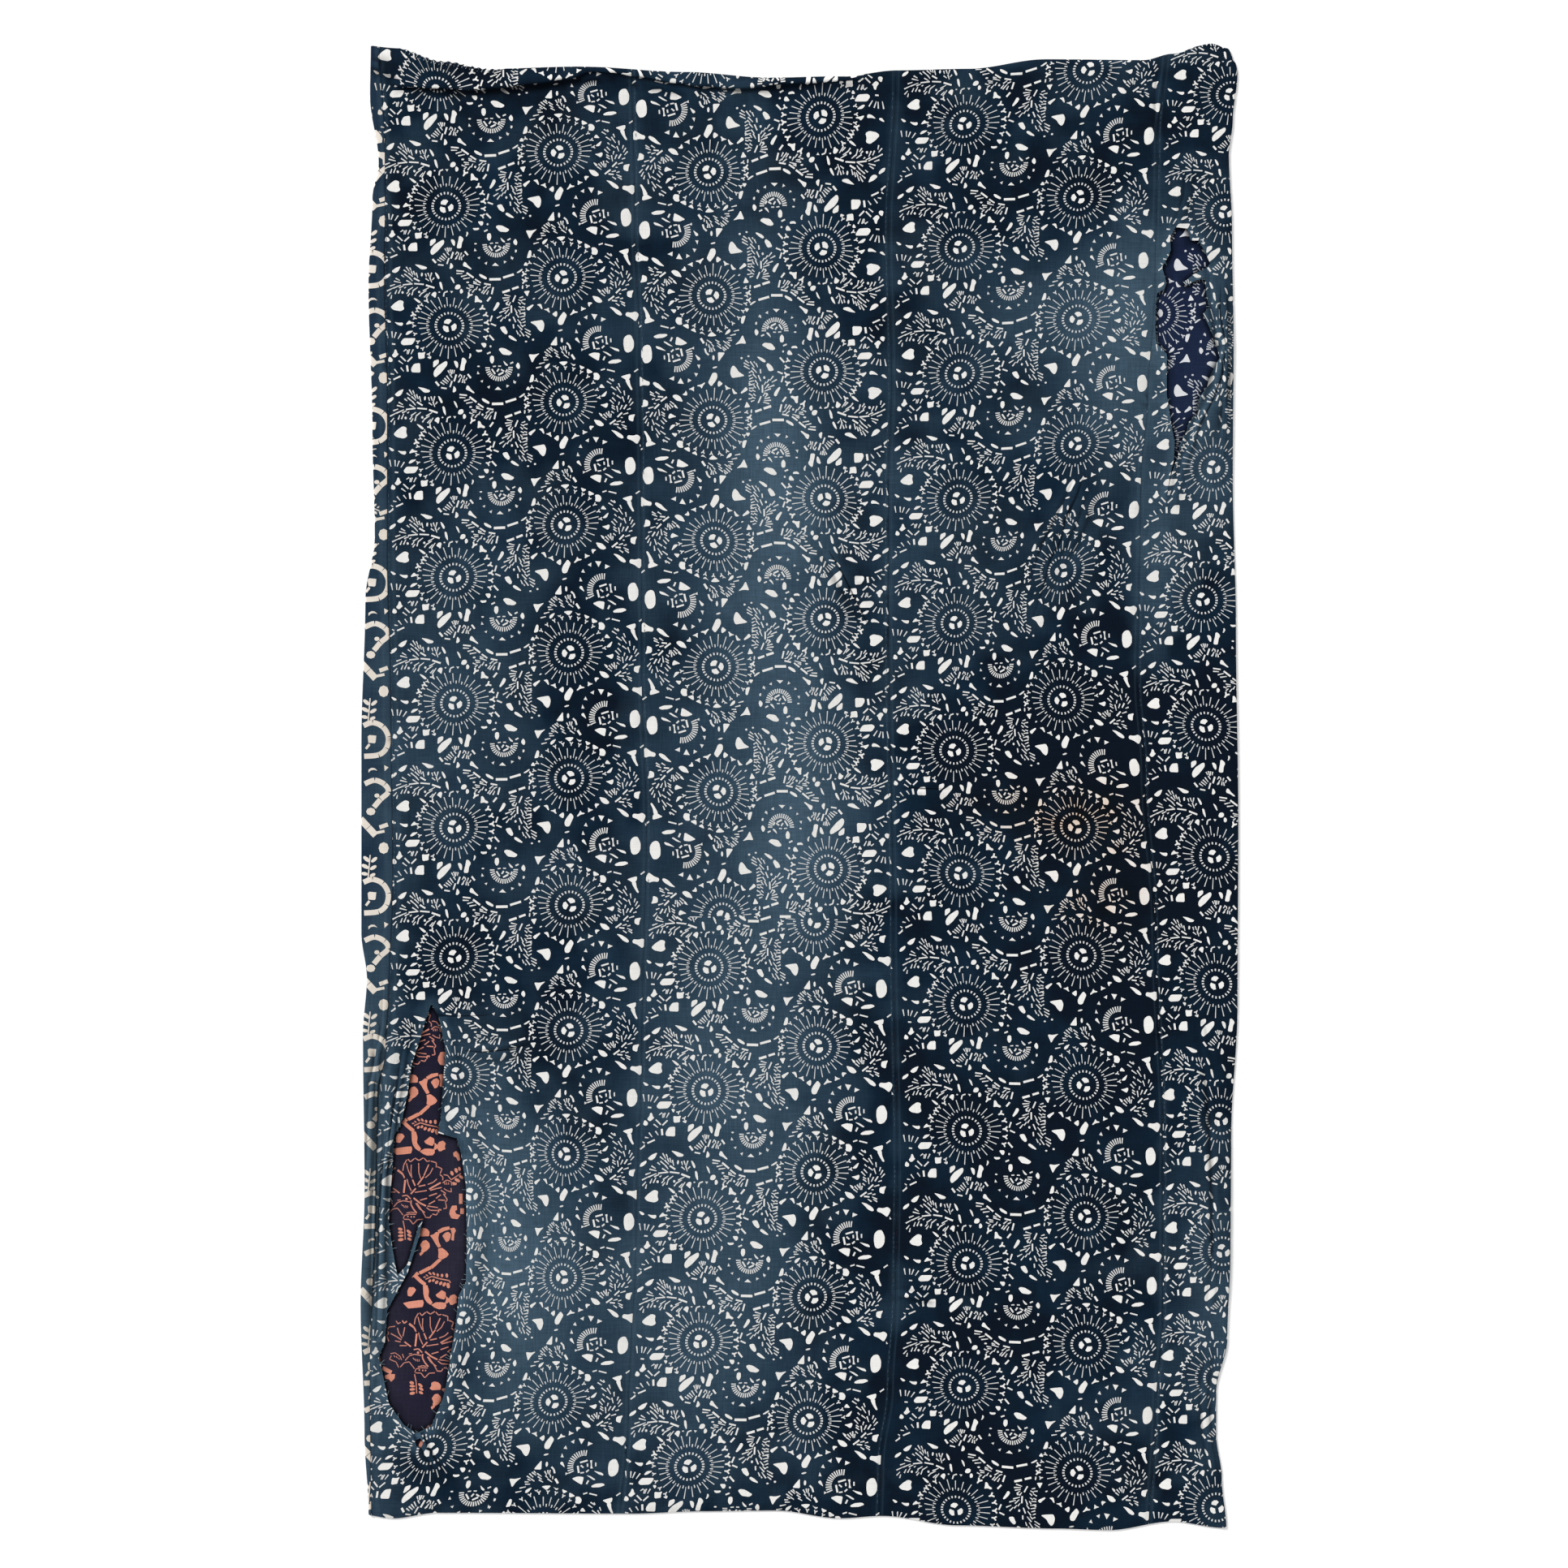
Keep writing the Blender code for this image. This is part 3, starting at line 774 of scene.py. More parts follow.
class FlowerChart:
    """The flower cloth's stencil, one repeat of it, in chart units with y down the cloth.

    Blots are the corners of the larger hand-cut marks, whose corners are rounded a little.
    Leaves are the small strokes of the sprays, each from its stem to its tip.
    """

    UNIT = 0.11673
    PERIOD = 1368.0
    FIRST = (730.0, 783.0)
    SECOND = (1961.0, 258.0)
    PETALS = 27
    # How thick a leaf's stroke is, how far round a flower the forked marks that point at it lie,
    # then the ring on which more of them stand and the room that each needs there
    LEAF = 12.2
    ROUND_FLOWER = 480.0
    TIP_RING = (384.0, 376.0)
    # A seed's corners: how far from the flower's middle, and degrees to the side
    SEED = ((10, 0), (60, -50), (72, -28), (74, 0), (70, 28), (58, 50))
    TIP_ROOM = 23.0

    BLOTS = (
        # Round the first flower, from the top left
        (90, 568, 135, 520, 195, 480, 242, 495, 232, 545, 248, 590, 205, 615, 125, 600),
        (365, 65, 430, 76, 508, 105, 495, 127, 440, 130, 410, 103),
        (112, 150, 160, 108, 220, 86, 190, 150, 150, 172),
        (100, 168, 106, 192, 70, 230, 28, 242, 40, 202), (760, 55, 790, 95, 780, 125, 745, 135),
        (903, 55, 925, 60, 945, 95, 992, 140, 975, 146, 935, 118, 888, 102),
        (585, 158, 618, 186, 640, 235, 622, 250, 598, 205),
        (630, 275, 655, 278, 668, 340, 668, 382, 640, 340),
        (752, 214, 785, 240, 800, 298, 788, 298, 765, 255),
        (812, 315, 855, 310, 866, 345, 835, 372, 795, 363),
        (858, 362, 880, 365, 892, 400, 862, 424, 850, 398),
        (568, 390, 600, 395, 595, 430, 585, 468, 560, 440, 536, 430),
        (1015, 440, 1042, 446, 1056, 485, 1098, 506, 1085, 528, 1045, 512, 1006, 525, 1014, 490),
        (342, 455, 385, 470, 430, 508, 412, 522, 380, 500),
        (1255, 512, 1285, 530, 1265, 575, 1220, 622, 1204, 612, 1232, 560),
        (1275, 800, 1330, 788, 1365, 860, 1345, 885, 1300, 850),
        (1378, 884, 1410, 900, 1462, 945, 1455, 956, 1402, 936, 1364, 906),
        (1255, 1040, 1280, 1022, 1330, 1030, 1412, 1080, 1380, 1108, 1300, 1098),
        (1165, 1110, 1205, 1108, 1210, 1165, 1185, 1202, 1160, 1168),
        (33, 705, 65, 710, 105, 738, 70, 752),
        (130, 738, 180, 748, 230, 745, 222, 785, 185, 782, 152, 760),
        (298, 716, 312, 740, 352, 742, 345, 756, 302, 760, 258, 774, 262, 754),
        (245, 880, 275, 840, 340, 834, 310, 860, 272, 882),
        (190, 965, 226, 915, 362, 914, 350, 946, 320, 986, 215, 992),
        (353, 992, 398, 994, 380, 1036, 364, 1014),
        (378, 1065, 425, 1072, 466, 1058, 450, 1100, 456, 1130, 385, 1140),
        (335, 1186, 403, 1178, 405, 1283, 305, 1280, 300, 1240),
        (130, 1028, 152, 1045, 156, 1075, 176, 1085, 126, 1128, 92, 1100, 118, 1074),
        (65, 1112, 86, 1118, 110, 1145, 95, 1172, 52, 1164),
        (475, 1118, 505, 1114, 526, 1102, 522, 1140, 498, 1134),
        (545, 1160, 605, 1140, 608, 1180, 560, 1224, 540, 1230),
        (590, 1215, 678, 1160, 700, 1164, 698, 1205, 625, 1290, 562, 1340, 540, 1312, 548, 1268),
        (765, 1158, 805, 1164, 818, 1200, 808, 1246, 785, 1220),
        (858, 1124, 885, 1128, 912, 1165, 890, 1200, 880, 1270, 830, 1268, 838, 1220, 850, 1180),
        (940, 1074, 966, 1095, 946, 1135, 930, 1138, 942, 1108),
        (1005, 1040, 1045, 1046, 1082, 1040, 1078, 1066, 1025, 1072),
        (1064, 970, 1126, 970, 1126, 1006, 1106, 1026, 1085, 1008),
        (1060, 198, 1086, 200, 1150, 240, 1146, 265, 1110, 250, 1074, 230),
        (1305, 1160, 1322, 1176, 1362, 1214, 1345, 1223, 1320, 1204),
        (1468, 1180, 1490, 1215, 1486, 1250, 1468, 1260, 1440, 1225),
        # Round the second flower, from the left
        (1574, 72, 1602, 120, 1544, 118), (1534, 148, 1540, 165, 1490, 200, 1464, 196),
        (1542, 402, 1612, 395, 1596, 425, 1584, 466, 1560, 430),
        (1644, 546, 1650, 562, 1610, 600, 1594, 624, 1568, 600, 1574, 584),
        (1678, 552, 1728, 540, 1738, 572, 1746, 605, 1730, 602, 1712, 570),
        (1750, 605, 1790, 600, 1816, 582, 1812, 615, 1828, 640, 1812, 642, 1795, 622),
        (1843, 658, 1898, 620, 1906, 660, 1892, 696),
        (1974, 628, 2010, 670, 1995, 702, 1960, 780, 1914, 780, 1904, 735, 1925, 690),
        (2080, 600, 2092, 630, 2130, 632, 2124, 646, 2084, 650, 2048, 676, 2038, 666, 2064, 640),
        (2160, 570, 2184, 592, 2226, 600, 2194, 611, 2158, 633, 2165, 600),
        (2234, 530, 2284, 535, 2286, 546, 2259, 560, 2254, 588, 2238, 565),
        (2282, 460, 2354, 475, 2399, 520, 2384, 540, 2344, 540, 2308, 515),
        (2334, 382, 2380, 404, 2380, 436, 2360, 425),
        (2352, 295, 2394, 290, 2440, 272, 2444, 300, 2424, 336, 2394, 318),
        (2429, 142, 2434, 150, 2410, 206, 2362, 206, 2380, 184), (2372, 60, 2415, 110, 2344, 106),
        (2284, -60, 2334, -60, 2362, -20, 2344, 25, 2284, 15, 2294, -20),
        (1616, -55, 1640, -45, 1634, 28, 1584, 40, 1600, -15),
        (1774, -155, 1824, -175, 1794, -125, 1764, -105, 1754, -130),
        (1839, -150, 1864, -137, 1892, -154, 1866, -119),
        (1909, -180, 1954, -190, 2014, -188, 1994, -160, 1964, -137, 1939, -160),
        (2032, -180, 2064, -155, 2104, -158, 2074, -130),
        (2134, -150, 2160, -135, 2200, -120, 2155, -95, 2144, -115),
        (2214, -108, 2244, -95, 2286, -65, 2219, -48),
        (2629, 20, 2679, 8, 2686, 70, 2714, 130, 2694, 136, 2656, 75),
        (2579, -15, 2634, -35, 2694, -50, 2689, 0, 2649, 30, 2619, 5),
        (1602, 745, 1644, 734, 1744, 720, 1764, 770, 1754, 830, 1729, 862, 1694, 830, 1670, 788),
        (2466, 580, 2519, 590, 2584, 630, 2612, 665, 2594, 683, 2544, 660, 2504, 615),
        (2649, 640, 2714, 646, 2754, 630, 2792, 660, 2780, 700, 2754, 745, 2694, 700, 2639, 680),
        (2664, 415, 2739, 400, 2719, 440, 2714, 490, 2662, 470),
        (2646, 895, 2679, 885, 2704, 892, 2734, 960, 2732, 1030, 2704, 1075, 2659, 1092, 2629, 1070,
         2616, 1000, 2619, 930), (2459, 1018, 2504, 1030, 2564, 1045, 2579, 1078, 2524, 1062),
        (2384, 1068, 2434, 1080, 2494, 1120, 2474, 1128, 2439, 1105),
        (2229, 1105, 2294, 1082, 2364, 1090, 2349, 1180, 2294, 1150),
        (2446, 1190, 2494, 1165, 2574, 1158, 2604, 1180, 2544, 1205, 2454, 1208),
        (1582, 1095, 1644, 1101, 1709, 1085, 1659, 1130, 1622, 1195),
        (1894, 898, 1899, 1005, 1819, 1000, 1854, 950),
        (1469, 1178, 1486, 1225, 1466, 1258, 1439, 1220),
    )
    # The dots and small triangles that ring the two curling buds, and single dots
    MARKS = (
        (Kind.LENS, (
            (230, 395, 26, 30), (411, 390, 26, 28), (445, 188, 22, 46, 6), (940, 290, 32, 20),
            (1068, 376, 24, 26), (1360, 546, 26, 22), (1385, 722, 24, 30), (1172, 1008, 22, 24),
            (630, 396, 22, 16), (1559, 958, 26, 20), (1636, 938, 26, 24), (2589, 441, 26, 14),
            (1949, 945, 26, 58), (1934, 838, 56, 19, -15), (1652, 486, 30, 16, -28),
            (1532, 356, 17, 46, 4), (1036, 1222, 30, 18), (1470, 1322, 22, 34, 20),
        )),
        (Kind.TRIANGLE, (
            (1029, 1290, 30, 36, 170), (1066, 1382, 30, 30, 100), (1140, 1446, 38, 30, 100),
            (1245, 1462, 76, 38, 180), (1352, 1438, 34, 34, 262), (1426, 1400, 32, 30, 110),
            (2306, 692, 68, 66), (2404, 719, 50, 58, 268), (2210, 696, 46, 42, 90),
            (2139, 758, 42, 42, 184), (2108, 848, 34, 48, 174),
        )),
        (Kind.WEDGE, ((2122, 950, 70, 34, 232),)),
        (Kind.TRIANGLE, ((2176, 1050, 30, 38, 260), (1470, 1320, 22, 30),)),
        (Kind.BONE, ((2433, 950, 96, 28, 82),)),
        (Kind.TRIANGLE, ((1421, 1397, 34, 30, 30), (2787, 755, 20, 34, 160), (763, 398, 34, 28),)),
    )
    # The forked marks that point at the flowers
    TIPS = (
        (492, 496, 56, 54), (404, 576, 66, 56), (343, 652, 62, 66), (952, 440, 72, 62),
        (1088, 586, 64, 66), (1124, 662, 60, 62), (1134, 750, 62, 68), (1132, 830, 60, 58),
        (1118, 908, 52, 60), (1552, 210, 54, 66), (1554, 290, 60, 64),
    )
    # Thickness, then the points of a curve that is cut in bars
    LINES = (
        (20, 580, 346, 485, 312), (16, 465, 303, 358, 292), (15, 342, 294, 234, 306),
        (18, 418, 264, 356, 226), (16, 820, 154, 905, 165), (20, 930, 180, 1006, 240),
        (17, 1020, 255, 1082, 300), (17, 1116, 308, 1190, 324), (18, 1216, 350, 1196, 430),
        (20, 1185, 460, 1145, 510), (28, 1172, 262, 1300, 262), (25, 1322, 246, 1442, 211),
        (26, 1312, 412, 1395, 386), (24, 1418, 376, 1490, 352), (16, 1455, 446, 1422, 520),
        (17, 1406, 558, 1406, 642), (14, 1424, 684, 1452, 748), (15, 1424, 768, 1428, 815),
        (17, 1196, 670, 1174, 736), (17, 1180, 762, 1237, 786), (19, 1160, 886, 1210, 942),
        (17, 1132, 1088, 1172, 1070), (15, 674, 448, 684, 402, 722, 388), (17, 186, 1320, 106, 1356),
        (22, 258, 1204, 266, 1272), (16, 318, 1114, 264, 1166), (15, 190, 1106, 246, 1160),
        (16, 100, 976, 138, 980), (22, 565, 1380, 602, 1426), (16, 744, 1374, 720, 1442),
        (18, 792, 1306, 766, 1382), (20, 916, 1304, 950, 1348), (16, 622, 1446, 684, 1456),
        (16, 30, 52, 78, 16), (13, 1192, 1226, 1226, 1222), (13, 1250, 1222, 1282, 1223),
        (17, 1180, 1252, 1216, 1308), (17, 1236, 1282, 1258, 1250), (16, 1280, 1258, 1316, 1280),
        (18, 1250, 1318, 1306, 1290), (17, 1348, 1258, 1330, 1292), (16, 1382, 1196, 1416, 1180),
        (18, 2524, 466, 2458, 516), (17, 2594, 384, 2542, 436), (15, 2644, 294, 2612, 346),
        (16, 2498, 514, 2556, 520), (18, 2308, 930, 2390, 905), (15, 2480, 928, 2482, 972),
        (16, 2390, 940, 2394, 976), (16, 2318, 960, 2350, 986), (20, 2286, 964, 2304, 1046),
        (15, 2320, 1046, 2360, 1040), (17, 2382, 1036, 2410, 1010), (18, 2416, 1128, 2396, 1170),
        (15, 2368, 1281, 2414, 1266), (15, 2434, 1274, 2522, 1296), (15, 2730, 1300, 2774, 1268),
        (19, 2000, 974, 2028, 1000, 2042, 1046), (24, 2052, 1104, 2086, 1158),
    )
    FANS = (
        Fan(1260, 1236, 100, 150, -4, 184, 18, 14),
        Fan(2354, 970, 116, 180, 150, 280, 14, 14),
    )
    LEAVES = pairs(
        # The long spray at the upper left
        205, 256, 158, 228, 216, 281, 138, 262, 252, 216, 222, 192, 288, 162, 248, 130,
        310, 150, 276, 95, 332, 142, 314, 104, 314, 226, 254, 178, 350, 190, 328, 148,
        346, 212, 298, 166, 372, 196, 354, 144, 400, 226, 384, 165, 342, 262, 308, 220,
        328, 286, 274, 254, 494, 216, 484, 178, 526, 216, 510, 170, 536, 226, 552, 168,
        522, 264, 484, 234, 550, 282, 530, 224, 556, 256, 578, 228, 152, 300, 96, 320,
        216, 308, 128, 346, 132, 342, 60, 378, 104, 395, 66, 438, 112, 424, 102, 468,
        168, 364, 148, 412, 212, 350, 184, 408, 244, 318, 192, 342, 302, 376, 274, 410,
        312, 400, 284, 438, 348, 364, 330, 428, 346, 334, 288, 372, 398, 334, 344, 374,
        442, 400, 410, 442, 492, 374, 430, 412, 520, 340, 452, 378, 502, 412, 464, 452,
        530, 396, 484, 462, 270, 330, 250, 345,
        # The spray from the arc down to the first flower
        886, 190, 820, 186, 936, 206, 868, 224, 966, 238, 892, 250, 1004, 330, 948, 320,
        1076, 324, 1000, 300, 964, 368, 924, 350, 1004, 346, 958, 344, 978, 370, 948, 394,
        1018, 368, 986, 406, 1046, 340, 1024, 378, 1116, 374, 1086, 416, 1152, 366, 1104, 426,
        1150, 328, 1106, 362, 1164, 388, 1142, 432, 1188, 344, 1150, 362, 1040, 296, 1000, 282,
        # The spray that curls left of the second flower
        1400, 456, 1332, 438, 1390, 470, 1312, 476, 1388, 490, 1324, 506, 1382, 506, 1346, 540,
        1386, 574, 1312, 602, 1380, 600, 1334, 652, 1346, 612, 1274, 640, 1302, 670, 1246, 700,
        1322, 690, 1284, 738, 1358, 664, 1330, 704, 1400, 520, 1376, 560, 1390, 640, 1366, 676,
        1496, 476, 1536, 462, 1484, 494, 1524, 512, 1520, 498, 1562, 492, 1480, 522, 1508, 548,
        1514, 524, 1558, 548, 1484, 570, 1520, 590, 1440, 592, 1468, 650, 1520, 572, 1554, 584,
        1500, 610, 1556, 606, 1480, 606, 1504, 640, 1454, 650, 1488, 694, 1492, 656, 1558, 640,
        1498, 690, 1556, 676, 1524, 640, 1558, 664, 1470, 716, 1510, 762, 1508, 724, 1552, 706,
        1524, 754, 1558, 738, 1468, 776, 1520, 832, 1500, 770, 1530, 800, 1456, 836, 1476, 880,
        1494, 836, 1540, 900, 1546, 816, 1610, 852, 1550, 850, 1612, 886, 1556, 884, 1596, 914,
        1486, 880, 1500, 900, 1530, 790, 1556, 776,
        # The spray right of the second flower
        2504, 36, 2456, 4, 2482, 66, 2432, 34, 2510, 32, 2492, 8, 2536, 136, 2478, 94,
        2576, 102, 2558, 58, 2586, 166, 2538, 94, 2624, 192, 2618, 138, 2520, 186, 2496, 162,
        2586, 226, 2538, 190, 2620, 266, 2598, 204, 2658, 236, 2670, 192, 2668, 276, 2696, 224,
        2678, 306, 2716, 264, 2648, 352, 2686, 338, 2604, 406, 2660, 388, 2572, 352, 2596, 300,
        2556, 300, 2566, 262, 2526, 256, 2488, 214, 2506, 286, 2462, 240, 2516, 322, 2482, 300,
        2520, 352, 2482, 324, 2548, 378, 2538, 308, 2506, 392, 2478, 370, 2430, 442, 2392, 400,
        2446, 424, 2418, 384, 2456, 442, 2448, 368, 2470, 442, 2474, 398, 2424, 468, 2380, 434,
        2534, 490, 2580, 478, 2586, 498, 2620, 488, 2584, 520, 2640, 546, 2538, 544, 2580, 572,
        2598, 546, 2642, 574,
        # The spray over the second flower
        1800, 1100, 1758, 1070, 1824, 1086, 1780, 1044, 1850, 1066, 1804, 1030, 1846, 1044, 1824, 1018,
        1840, 1130, 1804, 1104, 1800, 1122, 1768, 1104, 1782, 1136, 1742, 1134, 1800, 1160, 1748, 1160,
        1760, 1188, 1698, 1202, 1722, 1234, 1662, 1248, 1906, 1078, 1858, 1044, 1910, 1110, 1868, 1078,
        1926, 1142, 1882, 1114, 1956, 1062, 1932, 1020, 1970, 1052, 1964, 1008, 1984, 1062, 1990, 1008,
        1970, 1096, 1944, 1068, 2000, 1092, 1994, 1058, 2020, 1142, 1968, 1104, 2024, 1112, 2024, 1078,
        # The small spray left of the first flower
        60, 915, 45, 838, 106, 912, 104, 842, 126, 915, 150, 850, 166, 925, 206, 864,
        224, 1056, 256, 1034, 262, 1086, 270, 1040, 274, 1086, 290, 1034, 304, 1086, 332, 1034,
        216, 1190, 168, 1154, 222, 1270, 190, 1228, 156, 1290, 120, 1244, 116, 1300, 78, 1294,
        60, 1392, 78, 1374, 52, 1340, 76, 1356,
        # The two small sprays under the first flower
        660, 1414, 618, 1386, 692, 1404, 640, 1366, 706, 1388, 660, 1344, 722, 1370, 684, 1318,
        720, 1296, 702, 1262, 740, 1306, 726, 1252, 746, 1340, 722, 1304, 746, 1300, 750, 1254,
        764, 1296, 772, 1258, 814, 1338, 838, 1304, 842, 1344, 810, 1394, 852, 1346, 846, 1312,
        870, 1352, 882, 1318, 892, 1372, 908, 1342, 862, 1354, 856, 1398, 876, 1360, 882, 1402,
        836, 1346, 822, 1388,
    )

    @classmethod
    def flower(cls, middle: Spot, turns: tuple[float, ...]) -> list[Shape]:
        """Draw a flower: three seeds, a ring of dots, and long and short rays.

        Args:
            middle: Its middle.
            turns: Where its seeds point, in degrees clockwise.

        Returns:
            The outlines of its marks.
        """
        shapes = []
        for turn in turns:
            shape = []
            for near, off in cls.SEED:
                way = math.radians(turn + off)
                shape.append((middle[0] + math.cos(way) * near + math.cos(math.radians(turn)) * 7,
                              middle[1] + math.sin(way) * near + math.sin(math.radians(turn)) * 7))
            shapes.append(shape)
        for i in range(cls.PETALS):
            for kind, half in (("ray", 0.0), ("bud", 0.5)):
                even = 2 * math.pi * (i + half) / cls.PETALS
                turn = even - 0.085 * math.sin(2 * even)
                cos, sin = math.cos(turn), -math.sin(turn)
                wide = 1.0 + 0.03 * math.cos(2 * turn)
                far = 340 + 14 * math.sin(3 * turn + 1.0) + 8 * math.sin(7 * turn)
                spans = {"ray": ((224, far, 6.5, 10.5), (131, 157, 14, 17)), "bud": ((213, 246, 9, 14),)}
                for near, end, thick, end_thick in spans[kind]:
                    shapes.append(bar((middle[0] + cos * near * wide, middle[1] + sin * near),
                                      (middle[0] + cos * end * wide, middle[1] + sin * end),
                                      thick, end_thick))
        return shapes

    @staticmethod
    def rounded(blot: Sequence[Spot], cut: float = 11.0) -> Shape:
        """Cut a blot's corners off a little, as a knife leaves them.

        Args:
            blot: The blot's corners.
            cut: How much of a corner goes, in chart units.

        Returns:
            The outline with two corners for each one.
        """
        shape = []
        for before, at, after in zip(blot[-1:] + blot[:-1], blot, blot[1:] + blot[:1]):
            for other in (before, after):
                reach = min(0.3, cut / math.dist(at, other))
                shape.append((at[0] + (other[0] - at[0]) * reach, at[1] + (other[1] - at[1]) * reach))
        return shape

    @classmethod
    def shapes(cls) -> list[Shape]:
        """Draw one repeat.

        Returns:
            The outlines of all its marks, in chart units.
        """
        shapes = cls.flower(cls.FIRST, (19, 140, 250)) + cls.flower(cls.SECOND, (288, 176, 54))
        for x, y, wide, tall in cls.TIPS:
            middle = cls.FIRST if math.dist((x, y), cls.FIRST) < cls.ROUND_FLOWER else cls.SECOND
            turn = math.degrees(math.atan2(y - middle[1], x - middle[0]))
            shapes.append(mark_shape(Mark(Kind.STAR, x, y, wide, tall, turn)))
        shapes += [cls.rounded(pairs(*blot)) for blot in cls.BLOTS]
        shapes += mark_shapes(cls.MARKS)
        for line in cls.LINES:
            shapes += line_shapes(line, 0.0)
        for fan in cls.FANS:
            shapes += fan_shapes(fan)
        for stem, tip in zip(cls.LEAVES[::2], cls.LEAVES[1::2]):
            shapes.append(bar(stem, tip, cls.LEAF * 0.7, cls.LEAF * 1.25))
        return shapes + cls.free_tips(shapes)

    @classmethod
    def free_tips(cls, shapes: Sequence[Shape]) -> list[Shape]:
        """Add the small forked marks between the rays' ends, wherever nothing else is cut.

        Args:
            shapes: What is cut already.

        Returns:
            The added marks' outlines.
        """
        taken = np.array([corner for shape in shapes for corner in shape])
        taken = np.vstack([taken, taken + (0, cls.PERIOD), taken - (0, cls.PERIOD)])
        found = []
        for middle in (cls.FIRST, cls.SECOND):
            for i in range(cls.PETALS):
                turn = 2 * math.pi * (i + 0.5) / cls.PETALS
                x = middle[0] + math.cos(turn) * cls.TIP_RING[0]
                y = middle[1] + math.sin(turn) * cls.TIP_RING[1]
                if np.hypot(taken[:, 0] - x, taken[:, 1] - y).min() > cls.TIP_ROOM:
                    found.append(mark_shape(Mark(Kind.STAR, x, y, 46, 42, math.degrees(turn))))
        return found


